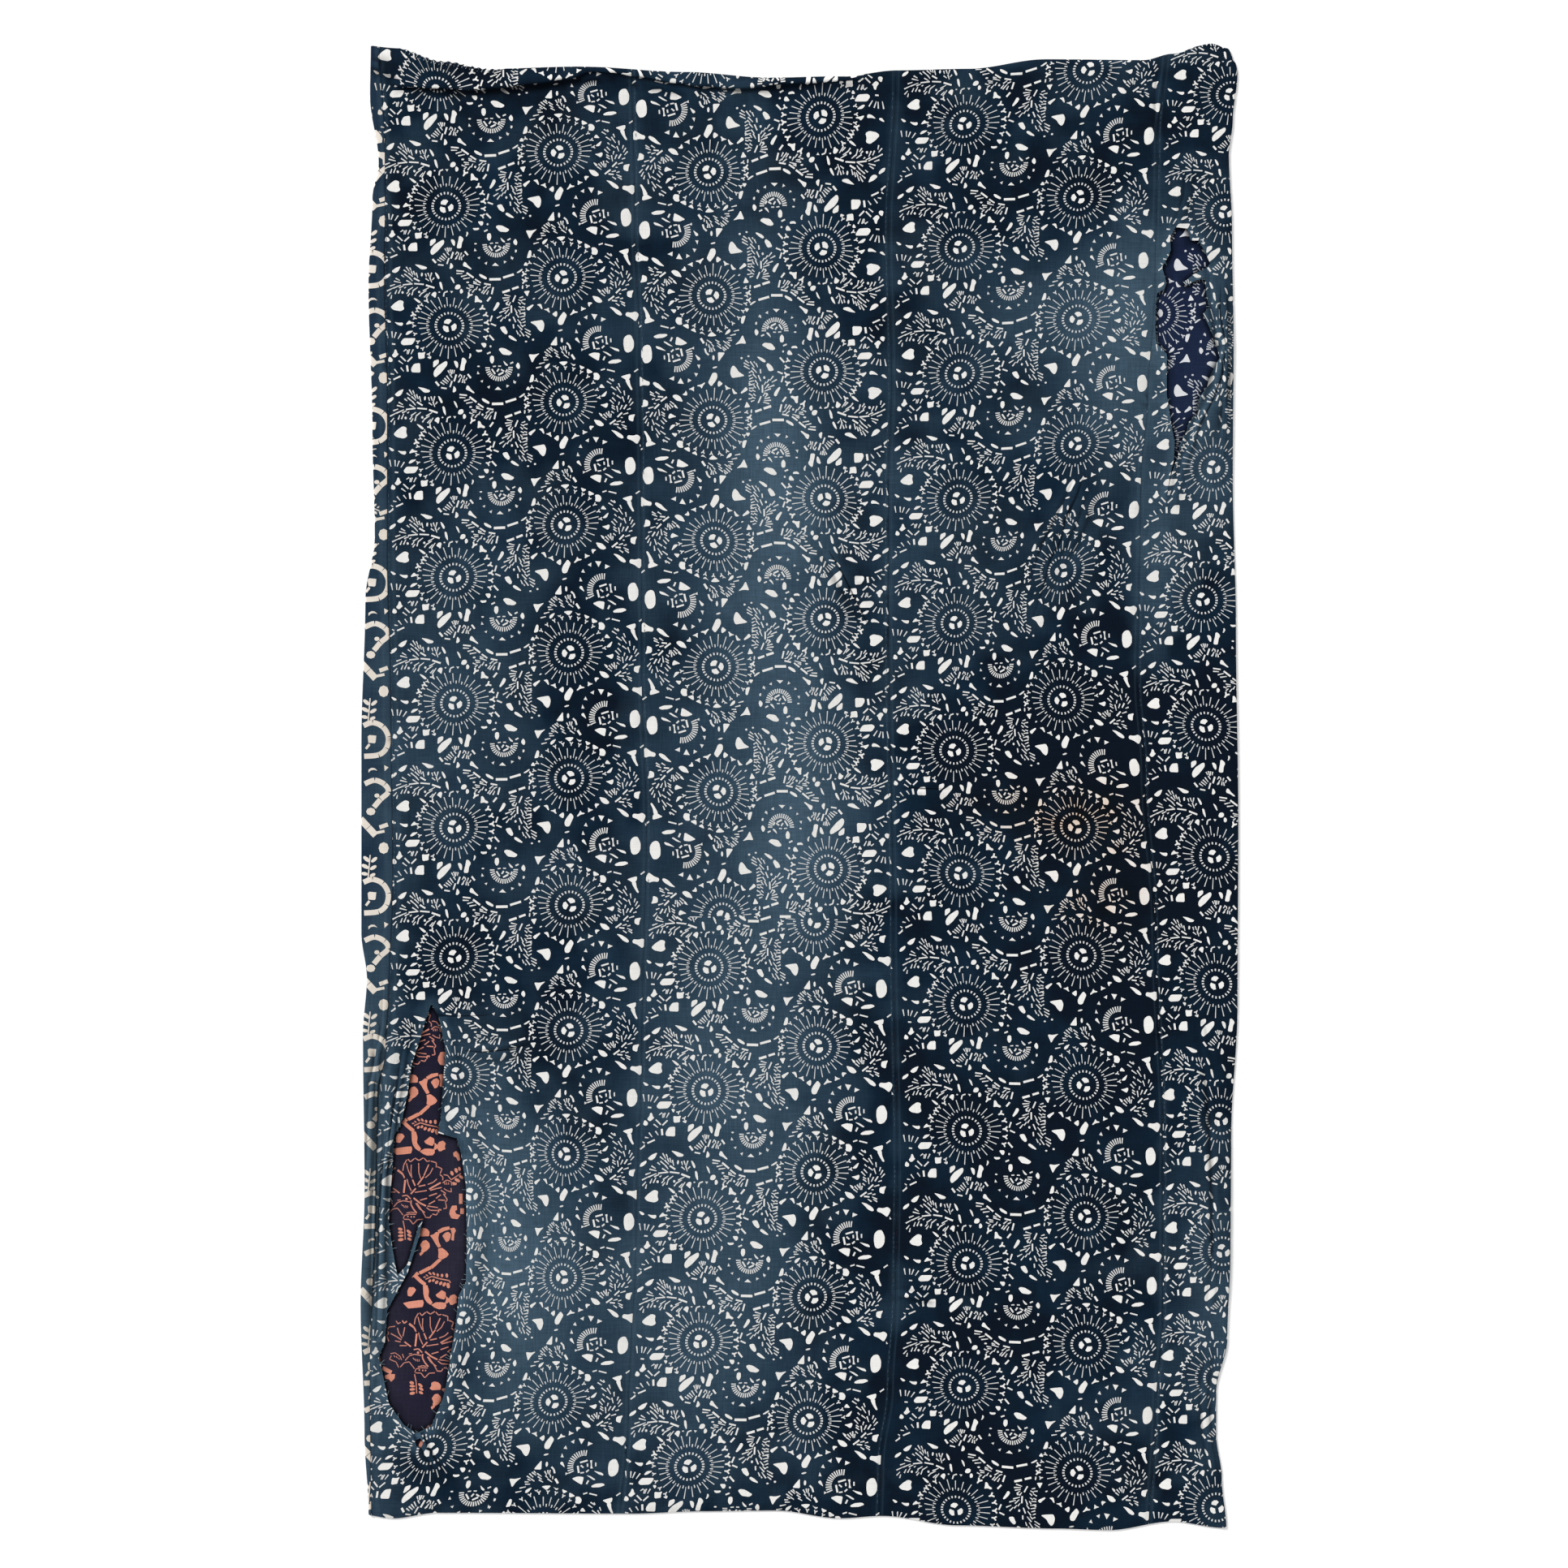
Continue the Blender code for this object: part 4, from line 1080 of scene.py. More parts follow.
class VineChart:
    """The vine cloth's stencil, one repeat of it, in chart units with y down the cloth.

    It is charted as it shows through the left tear, from the inside of the cover.
    """

    UNIT = 0.11673
    PERIOD = 1670.0
    SLIP = 125.0
    ORIGIN = (0.0, 520.15)
    # How much the larger marks have spread past their stencil
    SPREAD = 1.09
    # How far its corners are cut off, and the gap between a line's bars
    CUT = 5.0
    GAP = 2.0

    LINES = (
        # The big leaf's scalloped edge
        (11, 460, 552, 470, 488, 504, 430), (11, 516, 424, 542, 456, 586, 418),
        (11, 592, 412, 634, 440, 684, 410), (11, 692, 414, 722, 450, 756, 442),
        (11, 764, 446, 824, 464, 824, 516), (11, 836, 506, 886, 530, 866, 580),
        (11, 862, 590, 896, 620, 894, 656), (11, 872, 762, 926, 796, 908, 822),
        (11, 900, 800, 944, 866, 920, 896), (11, 926, 900, 936, 958, 900, 964),
        (16, 880, 978, 848, 972, 848, 1004), (11, 838, 1008, 826, 1032, 780, 1022),
        (11, 772, 1032, 752, 1062, 700, 1056),
        # Its veins
        (16, 546, 804, 602, 742), (15, 620, 704, 688, 612), (13, 688, 606, 742, 482),
        (10, 704, 628, 756, 582, 788, 518), (10, 656, 642, 634, 572, 632, 466),
        (15, 594, 716, 564, 646), (10, 558, 632, 548, 562, 552, 484),
        (10, 546, 612, 516, 538, 500, 470), (11, 552, 770, 518, 698, 506, 640),
        (19, 470, 792, 486, 650), (15, 476, 622, 450, 574, 404, 540), (13, 630, 722, 706, 706),
        (11, 730, 700, 792, 676, 830, 640), (17, 744, 752, 872, 680),
        (12, 756, 764, 830, 744, 884, 732), (11, 590, 786, 722, 766), (12, 646, 872, 724, 850),
        (12, 744, 826, 832, 796), (12, 740, 916, 812, 876), (12, 820, 852, 872, 812),
        (12, 844, 868, 920, 872), (17, 576, 846, 646, 902, 712, 934), (11, 726, 934, 842, 952),
        (11, 600, 902, 640, 962, 700, 1006), (11, 716, 950, 756, 980, 838, 984),
        (10, 612, 900, 672, 990, 706, 1050),
        # The small leaf at its left
        (11, 262, 512, 282, 546, 312, 528), (15, 328, 508, 350, 540, 380, 516),
        (14, 400, 548, 464, 594, 478, 632), (11, 252, 572, 184, 580, 170, 606),
        (11, 166, 620, 182, 648, 160, 672, 182, 736), (15, 424, 794, 352, 740),
        (11, 320, 720, 262, 682, 204, 650), (11, 326, 702, 290, 642, 276, 588),
        (11, 336, 682, 356, 582), (11, 312, 742, 250, 730), (11, 380, 782, 300, 782),
        # The bud and the hanging bells
        (13, 452, 826, 504, 816, 546, 858), (15, 550, 872, 548, 916, 574, 966, 612, 1012),
        (10, 330, 872, 346, 916), (10, 360, 944, 402, 896, 462, 876, 538, 890),
        (10, 306, 1016, 350, 968, 404, 958, 440, 1004, 462, 1034), (10, 400, 872, 436, 868),
        (9, 444, 914, 462, 936), (9, 468, 926, 478, 952), (9, 490, 928, 496, 956),
        (9, 512, 930, 512, 956), (10, 498, 1012, 550, 1000, 592, 1008),
        (10, 464, 1072, 478, 1036, 530, 1022, 606, 1026),
        (10, 470, 1078, 532, 1080, 572, 1132, 620, 1082, 684, 1078),
        (9, 200, 870, 250, 860, 306, 900, 322, 940), (9, 210, 890, 190, 930, 262, 960, 290, 1020),
        (9, 236, 886, 252, 908), (9, 262, 896, 276, 918), (9, 286, 914, 300, 934),
        (11, 462, 1092, 480, 1180, 486, 1302),
        # The bell and the sprig at its right
        (10, 902, 594, 946, 600, 986, 650), (10, 892, 684, 936, 652, 986, 668, 992, 712),
        (10, 906, 744, 942, 768, 988, 782, 984, 738), (9, 912, 676, 920, 704), (9, 934, 674, 940, 704),
        (9, 956, 678, 958, 702), (12, 1092, 580, 988, 648), (10, 1002, 706, 1036, 700, 1044, 680),
        # The stem of the sprig, and bars past the scroll
        (13, 706, 1732, 777, 1699, 849, 1722, 965, 1746, 979, 1772), (38, 1090, 800, 1090, 912),
        (40, 1106, 958, 1104, 1022), (44, 112, 1022, 212, 1076), (42, 1180, 1300, 1240, 1360),
    )
    BLOTS = (
        (1010, 360, 1040, 340, 1070, 372, 1082, 430, 1060, 442, 1040, 402, 1016, 396),
        (975, 982, 998, 936, 1044, 934, 1048, 978, 1026, 990, 1040, 1020, 1082, 1030, 1052, 1072, 990,
         1062, 970, 1020),
        (648, 1188, 680, 1175, 719, 1185, 745, 1214, 740, 1258, 654, 1263, 630, 1246, 648, 1221),
        (761, 1258, 797, 1246, 823, 1222, 856, 1228, 843, 1282, 850, 1324, 872, 1368, 842, 1381, 813,
         1337, 787, 1292), (841, 1202, 894, 1170, 960, 1159, 969, 1188, 913, 1204, 863, 1228),
        (978, 1182, 1018, 1174, 1035, 1202, 1018, 1240, 1014, 1306, 986, 1296, 995, 1246, 986, 1208),
        (893, 1259, 920, 1230, 953, 1219, 979, 1241, 975, 1279, 957, 1312, 931, 1323, 915, 1293),
        (653, 1356, 680, 1318, 713, 1310, 746, 1343, 749, 1382, 719, 1415, 684, 1435, 660, 1422, 669,
         1395),
        (847, 1402, 887, 1394, 933, 1428, 955, 1460, 933, 1487, 881, 1513, 847, 1492, 852, 1447),
        (849, 1509, 878, 1526, 784, 1614, 757, 1591), (745, 1591, 768, 1619, 656, 1675, 636, 1648),
        (559, 1711, 590, 1674, 612, 1649, 639, 1675, 619, 1689),
        (583, 1707, 621, 1694, 667, 1738, 709, 1771, 701, 1795, 667, 1785, 616, 1741),
        (682, 1803, 727, 1803, 743, 1861, 737, 1913, 779, 1978, 759, 2002, 719, 1972, 698, 1939, 687,
         1894),
        (473, 1991, 531, 1976, 622, 1963, 673, 1960, 680, 1991, 669, 2029, 609, 2037, 525, 2044),
        (512, 1861, 530, 1821, 577, 1821, 601, 1848, 578, 1882, 552, 1914, 517, 1908),
        (821, 1900, 849, 1881, 881, 1853, 921, 1874, 924, 1913, 907, 1947, 874, 1940, 836, 1923),
        (933, 1916, 962, 1943, 978, 1912, 1018, 1899, 1047, 1926, 1036, 1958, 1044, 1985, 1018, 1992,
         1003, 2005, 977, 2005, 962, 1974, 944, 1992, 925, 1984, 935, 1952),
        (775, 2010, 823, 1984, 874, 1983, 924, 1991, 927, 2023, 907, 2050, 849, 2053, 810, 2037),
        (140, 1110, 190, 1092, 246, 1096, 240, 1140, 206, 1172, 186, 1146, 146, 1142),
        (4, 930, 40, 908, 60, 940, 40, 978, 6, 972), (62, 930, 92, 920, 96, 990, 64, 1000),
        (640, 1450, 676, 1424, 684, 1446, 652, 1476),
        (1180, 560, 1230, 530, 1262, 590, 1220, 640, 1176, 620),
        (1170, 900, 1240, 880, 1252, 960, 1190, 980),
    )
    MARKS = (
        (Kind.LENS, (
            (500, 858, 28, 28), (515, 1048, 18, 20), (552, 1052, 18, 20), (582, 1052, 18, 20),
            (432, 1186, 52, 34, 16), (438, 1222, 62, 28, 4), (438, 1258, 62, 28, -4),
            (438, 1300, 62, 34, -10), (526, 1214, 62, 30, 40), (534, 1254, 58, 30, 32),
            (532, 1294, 52, 28, 28), (994, 578, 54, 34, 66), (1040, 548, 56, 36, 70),
            (1076, 530, 46, 28, 74), (1052, 654, 66, 36, 28), (1096, 620, 56, 32, 32),
            (1020, 690, 54, 30, 22), (696, 1707, 29, 17, -10), (722, 1689, 32, 16, 35),
            (755, 1667, 45, 21, 40), (797, 1670, 43, 23, 50), (839, 1684, 36, 27, 70),
            (886, 1690, 39, 30, 90), (938, 1690, 49, 31, 85), (753, 1749, 39, 27, -50),
            (792, 1743, 36, 28, -50), (828, 1763, 44, 32, -45), (872, 1774, 47, 31, -50),
            (911, 1786, 53, 34, -55), (953, 1799, 63, 38, 80),
        )),
    )

    @classmethod
    def shapes(cls) -> list[Shape]:
        """Draw one repeat.

        Returns:
            The outlines of all its marks, in chart units.
        """
        shapes = mark_shapes(cls.MARKS)
        for blot in cls.BLOTS:
            corners = np.array(pairs(*blot))
            middle = corners.mean(axis=0)
            grown = [tuple(middle + (corner - middle) * cls.SPREAD) for corner in corners]
            shapes.append(FlowerChart.rounded(grown, cls.CUT))
        for line in cls.LINES:
            shapes += line_shapes(line, cls.GAP)
        return shapes


class VineEdgeChart:
    """The part of the vine cloth that folds over the left edge, in units of its own.

    A ring lies at each pitch down the edge, the first at RING_ALONG and at RING_Y of the chart.
    """

    UNIT = 0.389
    PITCH = 198.8
    RING_ALONG = 1599.9
    RING_Y = 206.0
    HIGHEST = 1768.0
    GAP = 1.6

    LINES = (
        (17, 10, 162, 40, 152, 73, 166, 91, 198, 85, 235, 60, 257, 12, 262), (8, 30, 222, 18, 238),
        (17, 14, 352, 47, 340, 79, 354, 91, 378, 66, 402, 44, 428), (22, 0, 466, 26, 494, 50, 520),
        (9, 50, 512, 79, 506), (13, 62, 494, 90, 484), (4, 32, 72, 25, 152),
    )
    MARKS = (
        (Kind.SLAB, ((38, 206, 28, 27),)),
        (Kind.LENS, (
            (76, 50, 33, 38), (34, 442, 30, 25), (54, 390, 17, 14), (20, 86, 27, 13, 40),
            (45, 88, 25, 12, -40), (16, 110, 27, 13, 26), (42, 114, 25, 12, -30), (14, 134, 22, 12, 10),
            (40, 138, 20, 11, -24),
        )),
        (Kind.TRIANGLE, ((82, 302, 16, 18, 20),)),
        (Kind.BOAT, ((40, 306, 30, 14, 170),)),
    )

    @classmethod
    def shapes(cls) -> list[Shape]:
        """Draw one repeat of the edge's marks, in chart units.

        Returns:
            The marks' outlines.
        """
        shapes = mark_shapes(cls.MARKS)
        for line in cls.LINES:
            shapes += curved_shapes(line, cls.GAP)
        return shapes


class Row(NamedTuple):
    """Where the two flowers of one repeat lie on the cover."""

    first: Spot
    second: Spot


def rows(*numbers: float) -> tuple[Row, ...]:
    """Read repeats, written as the numbers of their two flowers' places."""
    places = pairs(*numbers)
    return tuple(map(Row, places[::2], places[1::2]))


@dataclass
class FlowerPrint:
    """A run of the flower stencil down a width, or up it where the cloth was turned.

    Attributes:
        rows: The places of each repeat's two flowers, in the order of the stencil.
        low: The lowest place up the cover that it is printed on.
        high: The highest place.
        turned: True where the cloth was sewn in the other way up.
        spread: The size of its marks, less where the dye has crept into them.
    """

    rows: tuple[Row, ...]
    low: float = -60.0
    high: float = 1980.0
    turned: bool = False
    spread: float = 1.0

    def both_columns(self) -> tuple[Array, Array]:
        """Give both columns of flowers as arrays, with one more repeat at each end.

        Returns:
            The flowers' middles in the left column and in the right one.
        """
        both = []
        for index in (0, 1):
            column = np.array([row[index] for row in self.rows], dtype=float)
            before = 2 * column[0] - column[1]
            after = 2 * column[-1] - column[-2]
            both.append(np.vstack([before, column, after]))
        return both[0], both[1]

    def place(self, corners: Array) -> Array:
        """Lay chart points on the cover.

        Args:
            corners: An array of chart points, with whole repeats added to y.

        Returns:
            Their places as (across, along).
        """
        chart = FlowerChart
        first, second = self.both_columns()
        steps = np.arange(len(first))
        places = []
        for column, middle in ((first, chart.FIRST), (second, chart.SECOND)):
            row = (corners[:, 1] - middle[1]) / chart.PERIOD + 1.0
            places.append([np.interp(row, steps, column[:, axis]) for axis in (0, 1)])
            over = row - np.clip(row, 0, len(column) - 1)
            pitch = column[1] - column[0]
            places[-1][1] = places[-1][1] + over * pitch[1]
        share = (corners[:, 0] - chart.FIRST[0]) / (chart.SECOND[0] - chart.FIRST[0])
        inner = np.clip(share, 0.0, 1.0)
        reach = np.clip(share, -0.3, 1.3)
        side = -1.0 if self.turned else 1.0
        beyond = (share - inner) * (chart.SECOND[0] - chart.FIRST[0]) * chart.UNIT * side
        across = places[0][0] * (1 - inner) + places[1][0] * inner + beyond
        along = places[0][1] * (1 - reach) + places[1][1] * reach
        return columns(across, along)

    def motifs(self) -> list[Array]:
        """Lay every repeat of the stencil on the cover.

        Returns:
            The marks' outlines on the cover.
        """
        shapes = FlowerChart.shapes()
        sizes = np.cumsum([len(shape) for shape in shapes])[:-1]
        corners = np.array([corner for shape in shapes for corner in shape])
        found = []
        for repeat in range(-1, len(self.rows) + 1):
            shifted = corners + np.array([0.0, repeat * FlowerChart.PERIOD])
            for shape in np.split(self.place(shifted), sizes):
                middle = shape.mean(axis=0)
                if self.low < middle[1] < self.high:
                    found.append(middle + (shape - middle) * self.spread)
        return found


def vine_motifs(across_from: Callable[[Array, Array], Array],
                shift: Spot, repeats: range, low: float) -> list[Array]:
    """Lay the vine stencil on the back.

    Args:
        across_from: Turns a place on the back to a place on the flat cloth.
        shift: How far this run lies from the one that shows through the tear.
        repeats: Which repeats to lay.
        low: The lowest place across the back that a mark may have.

    Returns:
        The outlines of its marks on the flat cloth.
    """
    chart = VineChart
    shapes = chart.shapes()
    sizes = np.cumsum([len(shape) for shape in shapes])[:-1]
    corners = np.array([corner for shape in shapes for corner in shape])
    found = []
    for repeat in repeats:
        x = (corners[:, 0] + repeat * chart.SLIP) * chart.UNIT + chart.ORIGIN[0] + shift[0]
        y = chart.ORIGIN[1] + shift[1] - (corners[:, 1] + repeat * chart.PERIOD) * chart.UNIT
        laid = np.split(columns(across_from(x, y), y), sizes)
        found += [shape for shape, place in zip(laid, np.split(x, sizes)) if place.min() > low]
    return found


class Pieces(NamedTuple):
    """A flat cloth cut into triangles: its points, each triangle's three, and its print.

    Marks tells which triangles are printed marks, and fine how thin the mark of each is.
    """

    flat: Array
    corners: Array
    marks: Array
    fine: Array


def area_inside(shape: Array) -> float:
    """Measure an outline's area, below zero where it runs clockwise."""
    x, y = shape[:, 0], shape[:, 1]
    return float(np.sum(x * np.roll(y, -1) - np.roll(x, -1) * y)) / 2


def thinness(mark: Array) -> float:
    """Tell how thin a mark is, from 0 for a broad one to 1 for one that is 0.9 mm wide."""
    rim = float(np.linalg.norm(mark - np.roll(mark, -1, axis=0), axis=1).sum())
    return float(np.clip(THIN_MARK - 2 * abs(area_inside(mark)) / rim, 0.0, 1.0))


def cut_cloth(outline: Array, holes: Sequence[Array], marks: Sequence[Array],
              folds: Sequence[Array], spots: Array) -> Pieces:
    """Cut a flat cloth into triangles that follow its outline, holes, marks and folds.

    Args:
        outline: The cloth's outline.
        holes: The outlines of its holes.
        marks: The outlines of its printed marks.
        folds: Lines that edges must follow.
        spots: More places that get a point.

    Returns:
        The triangles inside the outline and outside the holes.
    """
    points: list[Vector] = []
    faces: list[list[int]] = []
    edges: list[tuple[int, int]] = []
    for shape in [outline, *holes, *marks]:
        start = len(points)
        points += [Vector(corner) for corner in shape]
        order = list(range(start, len(points)))
        faces.append(order[::-1] if area_inside(shape) < 0 else order)
    for fold in folds:
        start = len(points)
        points += [Vector(corner) for corner in fold]
        edges += [(i, i + 1) for i in range(start, len(points) - 1)]
    points += [Vector(spot) for spot in spots]
    result = delaunay_2d_cdt(points, edges, faces, 0, 1e-4, True)
    flat = np.array([tuple(point) for point in result[0]])
    first_mark = 1 + len(holes)
    thin = [thinness(mark) for mark in marks]
    kept, printed, fine = [], [], []
    for corners, sources in zip(result[2], result[5]):
        if 0 not in sources or any(0 < source < first_mark for source in sources):
            continue
        under = [thin[source - first_mark] for source in sources if source >= first_mark]
        kept.append(corners)
        printed.append(bool(under))
        fine.append(min(under, default=0.0))
    corners = np.array(kept)
    used, renumbered = np.unique(corners, return_inverse=True)
    return Pieces(flat[used], renumbered.reshape(corners.shape), np.array(printed), np.array(fine))


def hex_colour(code: str) -> tuple[float, float, float, float]:
    """Turn an sRGB hex colour to linear red, green, blue and alpha.

    Args:
        code: The colour, as #rrggbb.

    Returns:
        The linear colour.
    """
    parts = [int(code[i:i + 2], 16) / 255 for i in (1, 3, 5)]
    linear = [c / 12.92 if c <= 0.04045 else ((c + 0.055) / 1.055) ** 2.4 for c in parts]
    return (*linear, 1.0)


def add_node(tree: bpy.types.NodeTree, kind: str, values: dict[Any, Any]) -> bpy.types.Node:
    """Add a node to a tree.

    Args:
        tree: The tree.
        kind: The node's type, without the ShaderNode that it starts with.
        values: Its own settings by name, and for its inputs, by name or number, a value or the
            socket that feeds one.

    Returns:
        The node.
    """
    node = tree.nodes.new("ShaderNode" + kind)
    for name, value in values.items():
        if isinstance(value, bpy.types.NodeSocket):
            tree.links.new(value, node.inputs[name])
        elif isinstance(name, str) and hasattr(node, name):
            setattr(node, name, value)
        else:
            node.inputs[name].default_value = value
    return node


@dataclass(frozen=True)
class Cotton:
    """Hand-woven plain cotton, matte, its uneven threads just showing as fine streaks.

    Attributes:
        name: The material's name.
        deep: Where the dye is strongest.
        mid: Where it is ordinary.
        worn: Where the cloth has been rubbed pale.
        stain: The colour of old stains, and of the painted shade in a seam's groove.
        mottle: How strongly deep and mid are mixed in clouds.
        streak: How strongly single threads show.
        creep: How far the dye has crept into thin marks.
        crept: Its colour there.
    """

    name: str
    deep: str
    mid: str
    worn: str
    stain: str
    mottle: float = 1.0
    streak: float = 0.3
    creep: float = 0.0
    crept: str = "#5d6f7d"

    # The threads lie 0.7 mm apart, too fine to show in the whole view, so streaks are 2 mm wide
    THREAD_MM = 2.0
    # How long the yarn stays as thick, how large the dye's clouds are, and the nap's tufts
    SLUB_MM = 26.0
    CLOUD_MM = 90.9
    NAP_MM = 3.846
    # How far the nap and the threads rise
    RELIEF_MM = 0.5
    # Millimetres from a seam where the painted shade of its groove starts and stops to pale, and its
    # strongest colour, then the same from the middle of the ridge that the seam allowance makes beside
    # it, paler there with rubbed wear and a painted highlight
    GROOVE = (0.2, 1.1, 0.3)
    RIDGE = (0.0, 2.0, 0.12)
    RIDGE_MIDDLE = 4.0
    # The colour of the painted shade at its darkest, in folds, hollows and under the rims
    PAINTED_SHADE_COLOUR = "#04060a"

    def material(self) -> bpy.types.Material:
        """Make the material.

        Returns:
            The new material.
        """
        material = bpy.data.materials.new(self.name)
        material.use_nodes = True
        material.node_tree.nodes.clear()
        node = partial(add_node, material.node_tree)
        place = node("TexCoord", {}).outputs["Object"]
        clouds = node("TexNoise", {"Vector": place, "Scale": 1 / (self.CLOUD_MM * MM),
                                   "Detail": 5.0, "Roughness": 0.6}).outputs["Fac"]
        nap = node("TexNoise", {"Vector": place, "Scale": 1 / (self.NAP_MM * MM),
                                "Detail": 3.0}).outputs["Fac"]
        streaks = []
        thin, long = 1 / (self.THREAD_MM * MM), 1 / (self.SLUB_MM * MM)
        for scale in ((thin, long, 1.0), (long, thin, 1.0)):
            turned = node("Mapping", {"Vector": place, "Scale": scale}).outputs[0]
            noise = node("TexNoise", {"Vector": turned, "Scale": 1.0, "Detail": 2.0})
            streaks.append(noise.outputs["Fac"])
        weave = node("Math", {"operation": "ADD", 0: streaks[0], 1: streaks[1]}).outputs[0]
        worn, stain, fine, seam, shade = (
            node("Attribute", {"attribute_name": layer}).outputs["Fac"]
            for layer in ("worn", "stain", "fine", "seam", "shade"))
        spread = node("MapRange", {"Value": clouds, "From Min": 0.35, "From Max": 0.68,
                                   "To Max": self.mottle}).outputs[0]
        dyed = node("Math", {"operation": "MULTIPLY_ADD", "use_clamp": True,
                             0: worn, 1: 2.0, 2: spread}).outputs[0]
        rubbed = node("Math", {"operation": "MULTIPLY_ADD", 0: weave, 1: 0.5, 2: -0.5}).outputs[0]
        rubbed = node("Math", {"operation": "MULTIPLY", 0: rubbed, 1: worn}).outputs[0]
        wear = node("Math", {"operation": "ADD", "use_clamp": True, 0: worn, 1: rubbed}).outputs[0]
        crept = node("Math", {"operation": "MULTIPLY", 0: fine, 1: self.creep}).outputs[0]
        away = node("Math", {"operation": "MULTIPLY", 0: seam, 1: SEAM_SHOWN}).outputs[0]
        past = node("Math", {"operation": "SUBTRACT", 0: away, 1: self.RIDGE_MIDDLE}).outputs[0]
        past = node("Math", {"operation": "ABSOLUTE", 0: past}).outputs[0]
        # Painted shade darkens each seam's groove, and a band beside it is paler with rubbed wear and a
        # painted highlight
        groove_shade, ridge = (
            node("MapRange", {"interpolation_type": "SMOOTHSTEP", "Value": gap, "From Min": near,
                              "From Max": far, "To Min": most, "To Max": 0.0}).outputs[0]
            for gap, (near, far, most) in ((away, self.GROOVE), (past, self.RIDGE)))
        colour: Any = hex_colour(self.deep)
        for share, over in ((dyed, self.mid), (wear, self.worn), (crept, self.crept),
                            (ridge, self.worn), (groove_shade, self.stain), (stain, self.stain)):
            colour = node("Mix", {"data_type": "RGBA", 0: share, 6: colour,
                                  7: hex_colour(over)}).outputs[2]
        light = node("MapRange", {"Value": weave, "From Min": 0.7, "From Max": 1.3,
                                  "To Min": 1 - self.streak, "To Max": 1 + self.streak})
        colour = node("Mix", {"data_type": "RGBA", "blend_type": "MULTIPLY", 0: 1.0, 6: colour,
                              7: light.outputs[0]}).outputs[2]
        # Painted shade: darken towards the shade colour where the shade attribute marks a fold, a hollow
        # or a rim's shadow
        colour = node("Mix", {"data_type": "RGBA", 0: shade, 6: colour,
                              7: hex_colour(self.PAINTED_SHADE_COLOUR)}).outputs[2]
        relief = node("Math", {"operation": "ADD", 0: weave, 1: nap}).outputs[0]
        bump = node("Bump", {"Strength": 0.35, "Distance": self.RELIEF_MM * MM, "Height": relief})
        shader = node("BsdfPrincipled", {"Base Color": colour, "Normal": bump.outputs[0],
                                         "Roughness": 0.95, "Metallic": 0.0, "IOR": 1.45,
                                         "Specular IOR Level": 0.05})
        node("OutputMaterial", {"Surface": shader.outputs[0]})
        return material


INDIGO = Cotton("indigo dyed cotton", "#0a1420", "#122739", "#4a6070", "#0b0c0d", 0.8, 0.1)
UNDYED = Cotton("undyed reserve cotton", "#e8e7e4", "#e0deda", "#d6d6d3", "#d3b79f", 0.8, 0.05, 0.22)
INNER_NAVY = Cotton("unfaded indigo cotton", "#0e1529", "#131d36", "#222d45", "#05060c", 0.6, 0.1)
INNER_WHITE = Cotton("unworn reserve cotton", "#e6e7ea", "#dadbde", "#c9ccd0", "#b5a597", 0.6, 0.05, 0.3)
OUTER_BLUE = Cotton("faded indigo cotton", "#18283a", "#223647", "#4c616f", "#0d0c0c", 0.8, 0.1)
OUTER_VINE = Cotton("faded reserve cotton", "#e6ded4", "#dad1c6", "#c4bdb1", "#b08a68", 0.8, 0.05, 0.3)
INNER_DARK = Cotton("unfaded aubergine cotton", "#181726", "#201e2f", "#34323f", "#151015", 0.8, 0.1)
INNER_VINE = Cotton("salmon reserve cotton", "#dd9480", "#d1876f", "#c48a78", "#a8634c", 0.8, 0.1, 0.3,
                    "#7c5a60")
THREAD = Cotton("indigo sewing thread", "#3c4f5e", "#5a6e7d", "#7b8b96", "#2c3c49", 0.8, 0.1)
PALE_THREAD = Cotton("pale sewing thread", "#aeb4b5", "#c2c5c3", "#c9cbc8", "#8f9698", 0.8, 0.1)
FRAYED = Cotton("frayed cotton thread", "#4b6068", "#7f9095", "#a0a9aa", "#3a4a52", 1.0, 0.1)


@dataclass(frozen=True)
class PaleFloor:
    """A matte painted floor, even and near white."""

    colour: str = "#f7f7f7"
    # It glows a little, as a floor that is lit from below, so the cover's edges stand clear
    glow: float = 0.16

    def material(self) -> bpy.types.Material:
        """Make the material.

        Returns:
            The new material.
        """
        material = bpy.data.materials.new("pale painted floor")
        material.use_nodes = True
        shader = material.node_tree.nodes["Principled BSDF"]
        shader.inputs["Base Color"].default_value = hex_colour(self.colour)
        shader.inputs["Roughness"].default_value = 0.95
        shader.inputs["Specular IOR Level"].default_value = 0.0
        shader.inputs["Emission Color"].default_value = (1.0, 1.0, 1.0, 1.0)
        shader.inputs["Emission Strength"].default_value = self.glow
        return material


# Where the front has been rubbed pale
WORN = (
    Patch(531, 1365, 60, 160, 0.5), Patch(500, 1600, 60, 170, 0.3), Patch(560, 900, 60, 170, 0.42),
    Patch(520, 1130, 90, 240, 0.32), Patch(511, 560, 90, 260, 0.34), Patch(965, 1500, 60, 120, 0.56),
    Patch(1075, 1460, 42, 170, 0.48), Patch(1000, 1600, 60, 80, 0.2), Patch(160, 430, 60, 210, 0.52),
    Patch(225, 350, 70, 160, 0.3), Patch(20, 380, 34, 300, 0.5), Patch(850, 1540, 90, 110, 0.24),
    Patch(1010, 1220, 30, 120, 0.4), Patch(1080, 300, 40, 260, 0.25), Patch(700, 1300, 60, 300, 0.12),
    Patch(100, 1080, 80, 260, 0.18), Patch(420, 300, 90, 260, 0.26), Patch(800, 1200, 110, 200, 0.08),
    Patch(200, 900, 240, 700, 0.06), Patch(470, 900, 120, 700, 0.12), Patch(190, 250, 160, 200, 0.12),
)
